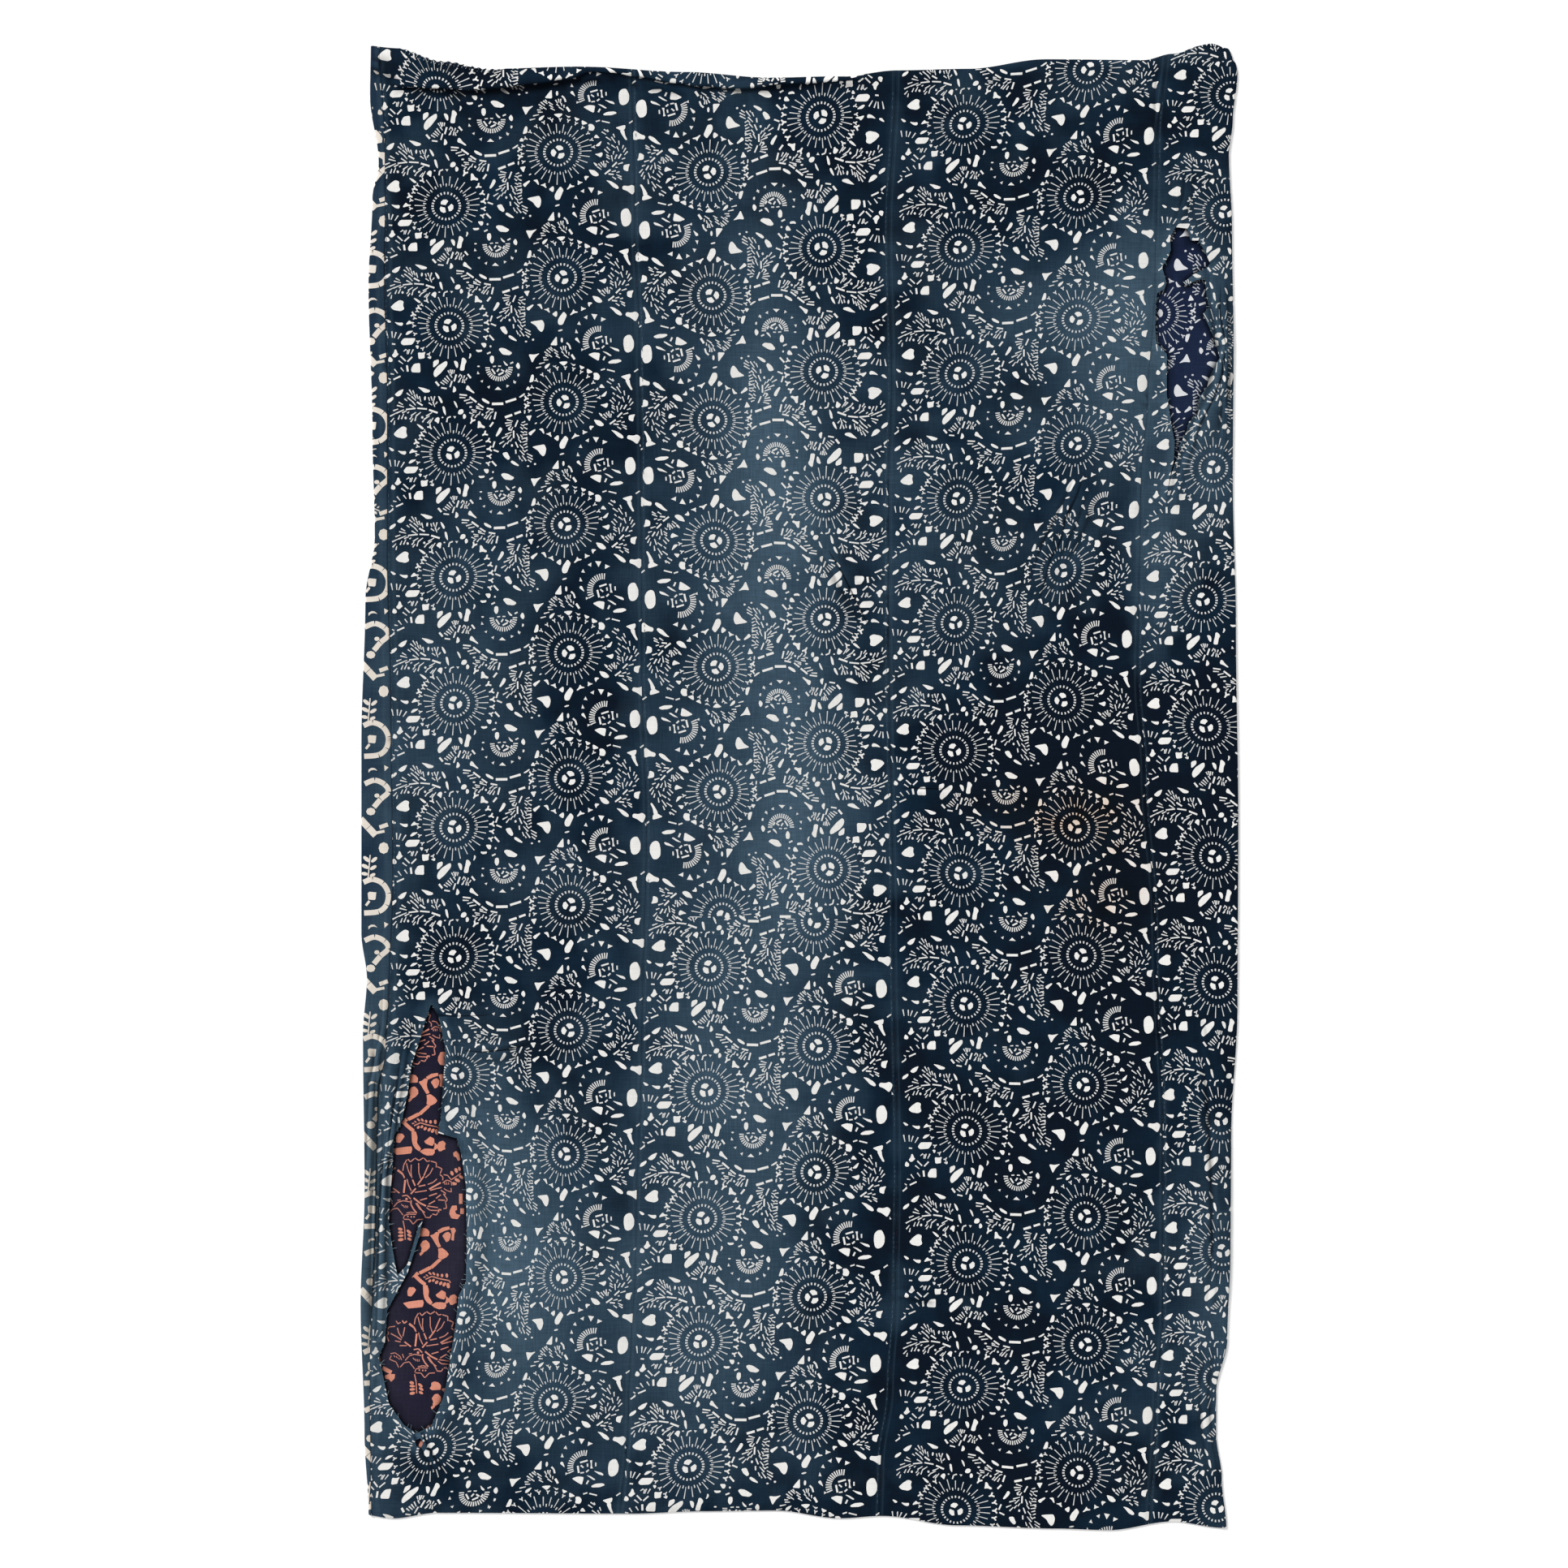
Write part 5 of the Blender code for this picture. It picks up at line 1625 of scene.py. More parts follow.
# Where its dye is deepest
DEEP = (
    Patch(930, 1010, 90, 130, 0.4), Patch(975, 700, 70, 130, 0.35), Patch(285, 1055, 60, 100, 0.2),
    Patch(190, 710, 130, 80, 0.16), Patch(840, 430, 160, 120, 0.2), Patch(780, 90, 110, 80, 0.2),
    Patch(170, 1440, 120, 100, 0.16), Patch(1080, 870, 60, 240, 0.4), Patch(780, 1000, 110, 60, 0.2),
)
# Old stains
STAINED = (
    Patch(890, 905, 70, 40, 0.55), Patch(935, 790, 60, 34, 0.5), Patch(960, 880, 40, 90, 0.35),
    Patch(820, 920, 60, 26, 0.3),
)


@dataclass
class Sheet:
    """A width of cloth, cut flat with its print and laid on the cover.

    Attributes:
        name: The frame's node that it stands for, and its own name's start.
        slot: The record's material slot, which isn't used here.
        flat: The size it was cut to, in metres, which isn't used here.
        finishes: The ground and the marks of its outer face, then those of its inner face. For a
            width that is laid upside down, those of its inner face come first.
        prints: Gives the outlines of its marks on the flat cloth.
        tears: The rims of the holes in it.
        pitch: How far apart its points are where nothing else needs one.
    """

    name: str
    slot: str
    flat: tuple[float, float]
    finishes: tuple[Cotton, ...]
    prints: Callable[["Sheet"], list[Array]]
    tears: tuple[Line, ...] = ()
    pitch: float = 14.0

    # How far rows of points are apart, as a share of their pitch
    ROW_STEP = 0.866
    # How many points its sides and its ends get
    SIDE_POINTS = 190
    END_POINTS = 141
    # Edges between faces that meet more steeply than this stay sharp
    SHARP_DEGREES = 70
    # The uneven wear of the whole cloth: how strong, how large and which noise
    MOTTLES = ((0.07, 190.0, 8), (0.09, 70.0, 21), (0.08, 22.0, 4))
    # How much the deeper places count, and how far they may outdo the ordinary dye
    DEEPER = 0.7
    DEEPEST = -0.5
    # The rubbing beside a seam and round a tear: how strong, and how far it reaches
    SEAM_RUB = (0.1, 8.0)
    RIM_RUB = (0.3, 9.0)

    def side(self, right: bool, along: Array) -> Array:
        """Find the cloth's left or right edge, flat, at places along it."""
        raise NotImplementedError

    def ends(self, across: Array) -> tuple[Array, Array]:
        """Find the cloth's bottom and top edge, flat, at places across it."""
        raise NotImplementedError

    def folds(self) -> list[Array]:
        """Give the lines that edges of its triangles must follow."""
        return []

    def extra_spots(self) -> Array:
        """Give the places where the cloth needs more points."""
        return np.zeros((0, 2))

    def inside(self, lines: Sequence[Array]) -> list[Array]:
        """Keep the parts of lines that lie on the flat cloth.

        Args:
            lines: Lines of points.

        Returns:
            What is left of them, without lines of one point.
        """
        found = []
        for line in lines:
            left, right = self.side(False, line[:, 1]), self.side(True, line[:, 1])
            keep = (line[:, 0] > left + 0.4) & (line[:, 0] < right - 0.4)
            if keep.sum() > 1:
                found.append(line[keep])
        return found

    def lay(self, flat: Array) -> Array:
        """Lay flat places on the cover, as (across, along, height)."""
        raise NotImplementedError

    def seam_distance(self, places: Array) -> Array:
        """Find how far places on the cover are from the nearest seam.

        Args:
            places: Places on the cover, as (across, along) in millimetres.

        Returns:
            The distance, more where a seam shows less.
        """
        # The strip's seam doesn't show near the top. Each seam stands with how much its distance
        # counts, and how much fainter it shows
        hidden = np.clip((places[:, 1] - 1640.0) / 60.0, 0.0, 1.0) * 2.0
        seams = ((STRIP_SEAM, 0.5, hidden), (LEFT_SEAM, 1.0, 0.6), (MIDDLE_SEAM, 1.0, 0.3),
                 (RIGHT_SEAM, 1.0, 0.5))
        return np.min([np.abs(places[:, 0] - bent(seam, places[:, 1])) * narrow + faint
                       for seam, narrow, faint in seams], axis=0)

    def shaded(self, places: Array, flat: Array, height: Array) -> Array:
        """Find how much painted shade darkens the cloth in its folds and under its rims."""
        return np.zeros(len(places))

    def outline(self) -> Array:
        """Walk round the flat cloth's edge, anticlockwise.

        Returns:
            The edge's points in order.
        """
        along = np.linspace(0.0, 1.0, self.SIDE_POINTS)
        # Near enough to both ends to find where the sides start there
        low, high = 12.0, 1880.0
        guess = low + (high - low) * along
        left, right = self.side(False, guess), self.side(True, guess)
        shares = np.linspace(0.0, 1.0, self.END_POINTS)
        bottom_across = left[0] + (right[0] - left[0]) * shares
        top_across = left[-1] + (right[-1] - left[-1]) * shares
        bottom, top = self.ends(bottom_across)[0], self.ends(top_across)[1]
        lefts = bottom[0] + (top[0] - bottom[0]) * along
        rights = bottom[-1] + (top[-1] - bottom[-1]) * along
        return np.vstack([
            columns(bottom_across, bottom)[:-1],
            columns(self.side(True, rights), rights)[:-1],
            columns(top_across, top)[::-1][:-1],
            columns(self.side(False, lefts), lefts)[::-1][:-1],
        ])

    def spots(self, outline: Array) -> Array:
        """Spread even points over the cloth, every other row shifted by half a pitch.

        Args:
            outline: The flat cloth's edge.

        Returns:
            The points, some of them past the edge.
        """
        low, high = outline.min(axis=0), outline.max(axis=0)
        step = self.pitch * self.ROW_STEP
        found = []
        for row in range(int((high[1] - low[1]) / step)):
            across = np.arange(low[0] + self.pitch * (0.3 + 0.5 * (row % 2)), high[0], self.pitch)
            along = np.full(len(across), low[1] + row * self.pitch * self.ROW_STEP)
            found.append(columns(across, along))
        return np.vstack(found + [self.extra_spots()])

    def build(self) -> None:
        """Cut the cloth, lay it and give it its thickness and finishes."""
        outline = self.outline()
        holes = [np.array(rim, dtype=float) for rim in self.tears]
        pieces = cut_cloth(outline, holes, self.prints(self), self.folds(), self.spots(outline))
        placed = to_frame(self.lay(pieces.flat))
        mesh = bpy.data.meshes.new(self.name + "_cloth")
        mesh.from_pydata(placed.tolist(), [], pieces.corners.tolist())
        mesh.polygons.foreach_set("material_index", pieces.marks.astype(np.int32))
        fine = mesh.attributes.new("fine", "FLOAT", "FACE")
        fine.data.foreach_set("value", pieces.fine.astype(np.float32))
        flat = mesh.attributes.new("flat", "FLOAT_VECTOR", "POINT")
        flat.data.foreach_set("vector", np.hstack(
            [pieces.flat, np.zeros((len(pieces.flat), 1))]).ravel())
        self.thicken(mesh)
        for finish in self.finishes:
            mesh.materials.append(MATERIALS[finish.name])
        self.colour_in(mesh)
        mesh.shade_smooth()
        mesh.set_sharp_from_angle(angle=math.radians(self.SHARP_DEGREES))
        piece = bpy.data.objects.new(self.name + "_cloth", mesh)
        bpy.context.collection.objects.link(piece)
        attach(piece, "root")
        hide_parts(self.name)
        LOG.info("%s: %d triangles", piece.name, len(mesh.polygons))

    def thicken(self, mesh: bpy.types.Mesh) -> None:
        """Give a single layer its thickness, half of it to each side.

        Args:
            mesh: The piece's mesh, which is changed.
        """
        bm = bmesh.new()
        bm.from_mesh(mesh)
        bm.normal_update()
        out = [vert.normal * CLOTH / 2 * MM for vert in bm.verts]
        outer = list(bm.verts)
        raised = bmesh.ops.extrude_face_region(bm, geom=bm.faces[:], use_keep_orig=True)
        inner = [item for item in raised["geom"] if isinstance(item, bmesh.types.BMVert)]
        inner_faces = [item for item in raised["geom"] if isinstance(item, bmesh.types.BMFace)]
        step = 2 if len(self.finishes) > 2 else 0
        for vert in inner:
            vert.co -= vert.normal * CLOTH / 2 * MM
        for vert, shift in zip(outer, out):
            vert.co += shift
        for face in inner_faces:
            face.material_index += step
        bmesh.ops.triangulate(bm, faces=[face for face in bm.faces if len(face.verts) > 3])
        bmesh.ops.recalc_face_normals(bm, faces=bm.faces[:])
        bm.to_mesh(mesh)
        bm.free()

    def colour_in(self, mesh: bpy.types.Mesh) -> None:
        """Write how worn and stained each point is, its painted shade, and the map that a bake reads.

        Args:
            mesh: The piece's mesh, which is given its values.
        """
        count = len(mesh.vertices)
        flat = np.zeros(count * 3)
        mesh.attributes["flat"].data.foreach_get("vector", flat)
        flat = flat.reshape(count, 3)[:, :2]
        places = np.zeros(count * 3)
        mesh.vertices.foreach_get("co", places)
        height = places.reshape(count, 3)[:, 2] / MM
        places = places.reshape(count, 3)[:, :2] / MM + np.array([COVER_WIDTH / 2, COVER_LENGTH / 2])
        worn = patches(WORN, places) - self.DEEPER * patches(DEEP, places)
        for strength, size, seed in self.MOTTLES:
            worn = worn + strength * hashed(places, size, seed)
        stain = patches(STAINED, places) * (1.0 + 0.5 * hashed(places, 16.0, 2))
        seam = self.seam_distance(places) / SEAM_SHOWN
        worn += self.SEAM_RUB[0] * fading(seam * SEAM_SHOWN, self.SEAM_RUB[1])
        shade = self.shaded(places, flat, height)
        for rim in self.tears:
            far = nearest_on(rim + rim[:1], places)[0]
            worn += self.RIM_RUB[0] * fading(far, self.RIM_RUB[1]) * (shade < 0.05)
        for name, values in (("worn", worn), ("stain", stain), ("seam", seam), ("shade", shade)):
            layer = mesh.attributes.new(name, "FLOAT", "POINT")
            lowest = self.DEEPEST if name == "worn" else 0.0
            layer.data.foreach_set("value", np.clip(values, lowest, 1.0).astype(np.float32))
        corners = np.zeros(len(mesh.loops), dtype=np.int32)
        mesh.loops.foreach_get("vertex_index", corners)
        slots = np.zeros(len(mesh.polygons), dtype=np.int32)
        mesh.polygons.foreach_get("material_index", slots)
        totals = np.zeros(len(mesh.polygons), dtype=np.int32)
        mesh.polygons.foreach_get("loop_total", totals)
        slot = np.repeat(slots, totals)
        low, high = flat.min(axis=0), flat.max(axis=0)
        share = (flat[corners] - low) / (high - low)
        strips = len(self.finishes)
        u = (slot + 0.02 + 0.96 * share[:, 0]) / strips
        v = 0.01 + 0.98 * share[:, 1]
        layer = mesh.uv_layers.new(name="OFBake")
        layer.data.foreach_set("uv", columns(u, v).ravel())


@dataclass
class FrontWidth(Sheet):
    """A width of the front between two seams."""

    seams: tuple[Bends, Bends] = (LEFT_SEAM, MIDDLE_SEAM)

    # The shade under the tuck: how far before its line, how far it reaches, how dark, and the
    # tuck's depth where it is full
    TUCK_SHADE = (2.2, 2.4, 0.95, 4.0)
    # The shade between the gathers: how far from the edge it ends, and how dark
    VALLEY_SHADE = (17.0, 0.8)
    # How much cloth a gather's valley takes up
    TAKEN_UP = 2.2

    def side(self, right: bool, along: Array) -> Array:
        """Find a seam, less half the gap that touching widths keep."""
        gap = -SEAM_GAP / 2 if right else SEAM_GAP / 2
        return bent(self.seams[int(right)], along) + gap

    def ends(self, across: Array) -> tuple[Array, Array]:
        """Find the flat ends: the tuck at the top takes up some cloth.

        Args:
            across: How far across the flat cloth each place is.

        Returns:
            The lower end and the upper end, at each place.
        """
        high = bent(TOP_EDGE, across) + 2 * Tuck.depth(across)
        taken = self.TAKEN_UP * (1 - Lie.gathers(across)) * Lie.gathered(across)
        return bent(BOTTOM_EDGE, across), high - taken

    def shaded(self, places: Array, flat: Array, height: Array) -> Array:
        """Paint shade under the tuck, between the gathers, and in the creases and folds of the front.

        Args:
            places: Places on the cover, as (across, along) in millimetres.
            flat: Places on the flat cloth, as (across, along).
            height: The height at each place, in millimetres, which isn't used here.

        Returns:
            The painted shade at each place, from 0 to 1.
        """
        across = places[:, 0]
        line = bent(Tuck.LINE, across)
        before, reach, dark, full = self.TUCK_SHADE
        depth = np.clip(Tuck.depth(across) / full, 0.0, 1.0)
        under = fading(flat[:, 1] - line + before, reach) * depth * dark
        edge = np.clip(1 - (bent(TOP_EDGE, across) - places[:, 1]) / self.VALLEY_SHADE[0], 0.0, 1.0)
        valley_shade = np.clip(1 - 2.2 * Lie.gathers(across), 0.0, 1.0) * Lie.gathered(across) * edge
        folds = Lie.painted_fold_shade(places)
        return np.clip(np.max([under, self.VALLEY_SHADE[1] * valley_shade, folds], axis=0), 0.0, 1.0)

    def folds(self) -> list[Array]:
        """Follow the tuck's folds, and take in the creases and gathers.

        Returns:
            Lines of points on the flat cloth.
        """
        along = np.array([1840.0])
        across = np.arange(self.side(False, along)[0] + 1, self.side(True, along)[0] - 1, 4.0)
        line, depth = bent(Tuck.LINE, across), Tuck.depth(across)
        keep = depth > 0.5
        found = []
        for share, past in Tuck.FOLDS:
            if keep.any():
                found.append(columns(across, line + share * depth + past)[keep])
        low, high = self.side(False, along)[0] - 12, self.side(True, along)[0] + 4
        return found + self.inside(Lie.crease_lines(low, high))

    def extra_spots(self) -> Array:
        """Put points close together where the top is gathered.

        Returns:
            The points on the flat cloth.
        """
        across = np.arange(*Lie.RUFFLE, 2.3)
        across = across[(across > self.side(False, np.array([1850.0]))[0] + 1)
                        & (across < self.side(True, np.array([1850.0]))[0] - 1)]
        rows = [columns(across, self.ends(across)[1] - back) for back in (4, 9, 15, 21)]
        return np.vstack(rows)

    def lay(self, flat: Array) -> Array:
        """Lay flat places on the front, through the tuck.

        Args:
            flat: Places on the flat cloth, as (across, along).

        Returns:
            The places in space, in millimetres.
        """
        along, lift = Tuck.fold(flat[:, 0], flat[:, 1])
        height = Lie.dressed_height(flat[:, 0], along)
        return columns(flat[:, 0], along, height + lift)


@dataclass
class WrappedWidth(Sheet):
    """A width that runs from a front seam round a side edge to a seam of the back.

    Attributes:
        edge: The side edge that it folds round.
        front_seam: Where it ends on the front.
        back_seam: Where it ends on the back.
        inward: The way from the edge to the cover's middle, 1 to the right or -1 to the left.
        seen_through: The tear in the front that shows its inner face.
    """

    edge: Bends = RIGHT_EDGE
    front_seam: Bends = RIGHT_SEAM
    back_seam: float = BACK_SEAM_SIDE
    inward: int = -1
    seen_through: Line = RIGHT_TEAR

    # The shade on its back under the rims: how dark, and how far it reaches
    UNDER_RIM = (0.85, 4.6)
    # How far before the fold it starts to rise to the fold's top
    BLEND = 8.0

    def side(self, right: bool, along: Array) -> Array:
        """Find the front seam, or the seam of the back as it lies on the flat cloth.

        Args:
            right: Whether it is the cloth's right side.
            along: How far along the cover each place is.

        Returns:
            How far across the flat cloth the side is.
        """
        if right == (self.inward > 0):
            return bent(self.front_seam, along) - self.inward * SEAM_GAP / 2
        end = self.back_seam - self.inward * SEAM_GAP / 2
        return self.unfolded(np.full(len(along), end), along)

    def unfolded(self, across: Array, along: Array) -> Array:
        """Turn a place on the back to a place on the flat cloth."""
        middle, radius = Lie.side_fold(self.edge, along, self.inward)
        return 2 * middle - self.inward * np.pi * radius - across

    def ends(self, across: Array) -> tuple[Array, Array]:
        """Find the flat ends, where the cloth folded to the back is a little shorter.

        Args:
            across: How far across the flat cloth each place is.

        Returns:
            The lower end and the upper end, at each place.
        """
        found = []
        for along, edge, way in ((20.0, BOTTOM_EDGE, 1), (1866.0, TOP_EDGE, -1)):
            middle, radius = Lie.side_fold(self.edge, np.full(len(across), along), self.inward)
            past = self.inward * (middle - across)
            turn = np.clip(past / (np.pi * radius), 0.0, 1.0)
            over = np.where(past > 0, middle - self.inward * radius, across)
            over = np.where(turn < 1.0, over, middle + self.inward * (past - np.pi * radius))
            found.append(bent(edge, over) + way * BACK_INSET * turn)
        return found[0], found[1]

    def on_back(self, flat: Array) -> Array:
        """Tell which places are on the back, by where they were on the flat cloth."""
        middle, radius = Lie.side_fold(self.edge, flat[:, 1], self.inward)
        return self.inward * (middle - flat[:, 0]) > np.pi * radius

    def shaded(self, places: Array, flat: Array, height: Array) -> Array:
        """Paint shade on the back's inner face under the rims of a tear in the front, and in the creases
        and folds of its front part.

        Args:
            places: Places on the cover, as (across, along) in millimetres.
            flat: Places on the flat cloth, as (across, along).
            height: The height at each place, in millimetres.

        Returns:
            The painted shade at each place.
        """
        far = nearest_on(self.seen_through + self.seen_through[:1], places)[0]
        inner = height > SOLID_CLOTH / 2
        under = self.UNDER_RIM[0] * fading(far, self.UNDER_RIM[1]) * inner
        return np.where(self.on_back(flat), under, Lie.painted_fold_shade(places))

    def extra_spots(self) -> Array:
        """Put points close together on the back under the rims.

        Returns:
            The points on the flat cloth.
        """
        rim = Lie.beside(self.seen_through + self.seen_through[:1], 0.0)
        found = [Lie.beside(tuple(map(tuple, rim)), step) for step in (-5.0, 0.0, 5.0)]
        spots = np.vstack(found)
        return columns(self.unfolded(spots[:, 0], spots[:, 1]), spots[:, 1])

    def folds(self) -> list[Array]:
        """Follow the round fold with lines along it.

        Returns:
            Lines of points on the flat cloth.
        """
        along = np.linspace(0.0, 1900.0, 240)
        middle, radius = Lie.side_fold(self.edge, along, self.inward)
        found = []
        for turn in (0.0, 0.25, 0.5, 0.75, 1.0):
            found.append(columns(middle - self.inward * np.pi * radius * turn, along))
        left = self.side(False, along)[0] - 12
        low, high = (0.0, 60.0) if self.inward > 0 else (left, COVER_WIDTH)
        return found + self.inside(Lie.crease_lines(low, high))

    def lay(self, flat: Array) -> Array:
        """Lay flat places on the front, round the fold and on the back.

        Args:
            flat: Places on the flat cloth, as (across, along).

        Returns:
            The places in space, in millimetres.
        """
        middle, radius = Lie.side_fold(self.edge, flat[:, 1], self.inward)
        past = self.inward * (middle - flat[:, 0])
        turn = np.clip(past / radius, 0.0, np.pi)
        front = Lie.dressed_height(flat[:, 0], flat[:, 1])
        start = Lie.dressed_height(middle, flat[:, 1])
        low = SOLID_CLOTH / 2
        top = low + 2 * radius
        blend = np.clip(1 + past / self.BLEND, 0.0, 1.0)
        front = front * (1 - blend) + (front - start + top) * blend
        around = low + radius + radius * np.cos(turn)
        across = np.where(past > 0, middle - self.inward * radius * np.sin(turn), flat[:, 0])
        beyond = past > np.pi * radius
        across = np.where(beyond, middle + self.inward * (past - np.pi * radius), across)
        height = np.where(past > 0, np.where(beyond, low, around), front)
        return columns(across, flat[:, 1], height)


@dataclass
class BackWidth(Sheet):
    """A flat width of the back between two of its seams."""

    seams: tuple[float, float] = (BACK_SEAM_LEFT, BACK_SEAM_RIGHT)
    pitch: float = 60.0

    def seam_distance(self, places: Array) -> Array:
        """Find how far places are from the nearer seam of the back."""
        return np.min([np.abs(places[:, 0] - seam) for seam in self.seams], axis=0)

    def side(self, right: bool, along: Array) -> Array:
        """Find a seam, less half the gap that touching widths keep."""
        gap = -SEAM_GAP / 2 if right else SEAM_GAP / 2
        return np.full(len(along), self.seams[int(right)] + gap)

    def ends(self, across: Array) -> tuple[Array, Array]:
        """Find the ends, a little short of the front's."""
        return bent(BOTTOM_EDGE, across) + BACK_INSET, bent(TOP_EDGE, across) - BACK_INSET

    def lay(self, flat: Array) -> Array:
        """Lay flat places on the back, upside down: its outer face is below."""
        return columns(flat[:, 0], flat[:, 1], np.full(len(flat), SOLID_CLOTH / 2))


# The flowers of each width of the front
LEFT_ROWS = rows(
    98, 1842, 251, 1898, 109, 1679, 251, 1748, 113, 1528, 256, 1589, 117, 1366, 258, 1431,
    119, 1209, 260, 1276, 120, 1049, 265, 1113, 119, 892, 265, 954, 119, 727, 266, 793,
    123, 579, 264, 634, 142, 426, 259, 477, 132, 269, 256, 321, 90, 102, 244, 163,
)
MIDDLE_LEFT_ROWS = rows(
    443, 714, 576, 772, 439, 558, 579, 614, 434, 395, 577, 454, 431, 239, 573, 296, 417, 81, 568, 139,
)
MIDDLE_LEFT_TURNED = rows(
    593, 839, 460, 778, 590, 998, 455, 937, 589, 1156, 452, 1095, 589, 1308, 450, 1255,
    587, 1470, 447, 1408, 585, 1626, 446, 1566, 584, 1793, 442, 1723,
)
MIDDLE_RIGHT_ROWS = rows(
    766, 1784, 924, 1853, 760, 1627, 911, 1691, 760, 1467, 909, 1537, 758, 1308, 908, 1378,
    755, 1151, 889, 1217, 753, 989, 889, 1053, 761, 833, 907, 892, 768, 667, 915, 729,
    769, 507, 918, 565, 770, 338, 920, 398, 765, 182, 921, 235, 755, 26, 910, 73,
)
# The second flowers of the fourth width lie past the edge, so they are set from the first ones
SIDE_ROWS = tuple(Row(first, (first[0] + 149, first[1] + 58)) for first in pairs(
    1104, 1821, 1097, 1672, 1090, 1510, 1082, 1348, 1068, 1180, 1072, 1020,
    1083, 854, 1086, 694, 1091, 521, 1094, 354, 1088, 193, 1086, 29,
))
# Beside the left tear the cloth has slipped with its flowers
SLIPPED_ROWS = rows(
    112, 727, 256, 793, 106, 572, 246, 632, 98, 417, 240, 476, 90, 262, 232, 323, 84, 104, 226, 165,
)
# The line down the left tear that parts the slipped cloth from the rest
TEAR_MIDDLE = pairs(118, 84, 250, 76, 330, 90, 500, 78, 560, 84, 660, 90)
# Its part on the back shows through the right tear, and keeps one pitch all the way
SIDE_BACK_PITCH = 159.7
SIDE_BACK_ROWS = tuple(Row((1152.7, 167.6 + SIDE_BACK_PITCH * step),
                           (1009, 106.3 + SIDE_BACK_PITCH * step)) for step in range(11))
# Where the second width's print turns the other way up
TURN_OF_CLOTH = 777.0
# How large the first width's marks and the right widths' have come out, where the dye crept in
LEFT_SPREAD = 0.97
RIGHT_SPREAD = 0.92
# Where the cloth beside the left tear has slipped, along the cover
SLIPPED = (118, 660)
# The two runs of vines on each width of the back: how far each lies from the charted one, and
# which repeats of it are laid
VINE_RUNS = ((0, 0), (150, 94))
FLAT_VINE_RUNS = ((-6, 0), (146, 94))
VINE_REPEATS = range(-8, 4)


def left_print(_: Sheet) -> list[Array]:
    """Print the first width. Beside its tear the cloth has slipped to the left with its print.

    Args:
        _: The width, which isn't needed here.

    Returns:
        The marks' outlines, laid on the flat cloth.
    """
    found = []
    for repeats, slipped in ((LEFT_ROWS, False), (SLIPPED_ROWS, True)):
        for shape in FlowerPrint(repeats, spread=LEFT_SPREAD).motifs():
            across, along = shape.mean(axis=0)
            beside = SLIPPED[0] < along < SLIPPED[1] and across < bent(TEAR_MIDDLE, along)
            if beside == slipped:
                found.append(shape)
    return found


def middle_left_print(_: Sheet) -> list[Array]:
    """Print the second width, whose upper part is the other way up.

    Args:
        _: The width, which isn't needed here.

    Returns:
        The marks' outlines, laid on the flat cloth.
    """
    lower = FlowerPrint(MIDDLE_LEFT_ROWS, high=TURN_OF_CLOTH).motifs()
    upper = FlowerPrint(MIDDLE_LEFT_TURNED, low=TURN_OF_CLOTH, turned=True).motifs()
    return lower + upper


def middle_right_print(_: Sheet) -> list[Array]:
    """Print the third width."""
    return FlowerPrint(MIDDLE_RIGHT_ROWS, spread=RIGHT_SPREAD).motifs()


def side_print(width: Sheet) -> list[Array]:
    """Print the fourth width. Past the right edge its flowers are the other way up.

    Args:
        width: The fourth width.

    Returns:
        The marks' outlines, laid on the flat cloth.
    """
    found = [shape for shape in FlowerPrint(SIDE_ROWS, spread=RIGHT_SPREAD).motifs()
             if (shape[:, 0] < bent(RIGHT_EDGE, shape[:, 1]) + 6.0).all()]
    for shape in FlowerPrint(SIDE_BACK_ROWS, turned=True).motifs():
        if (shape[:, 0] < bent(RIGHT_EDGE, shape[:, 1]) - 5.0).all():
            across = width.unfolded(shape[:, 0], shape[:, 1])
            found.append(columns(across, shape[:, 1])[::-1])
    return found


def edge_vines() -> list[Array]:
    """Print the marks that fold over the left edge.

    Returns:
        The marks' outlines, laid on the flat cloth.
    """
    chart = VineEdgeChart
    found = []
    for repeat in range(-1, 9):
        for shape in chart.shapes():
            corners = np.array(shape)
            along = chart.RING_ALONG - repeat * chart.PITCH
            along = along - (corners[:, 1] - chart.RING_Y) * chart.UNIT
            if along.max() < chart.HIGHEST:
                found.append(columns(corners[:, 0] * chart.UNIT, along))
    for shape in FlowerPrint(LEFT_ROWS, low=chart.HIGHEST).motifs():
        if shape[:, 0].mean() < bent(STRIP_SEAM, 1800.0) + 14.0 and shape[:, 1].min() > chart.HIGHEST:
            found.append(shape)
    return found


def left_vines(width: Sheet) -> list[Array]:
    """Print the vine width: its back, and the strip that shows on the front.

    Args:
        width: The vine width.

    Returns:
        The marks' outlines, laid on the flat cloth.
    """
    found = edge_vines()
    for shift in VINE_RUNS:
        found += vine_motifs(width.unfolded, shift, VINE_REPEATS, 8.0)
    return found


def straight(across: Array, along: Array) -> Array:
    """Leave a place on the back where it is."""
    return across


def flat_vines(width: Sheet) -> list[Array]:
    """Print a flat width of the back.

    Args:
        width: The flat width.

    Returns:
        The marks' outlines, laid on the flat cloth.
    """
    found = []
    for step, rise in FLAT_VINE_RUNS:
        found += vine_motifs(straight, (width.seams[0] + step, rise), VINE_REPEATS, 0.0)
    return found


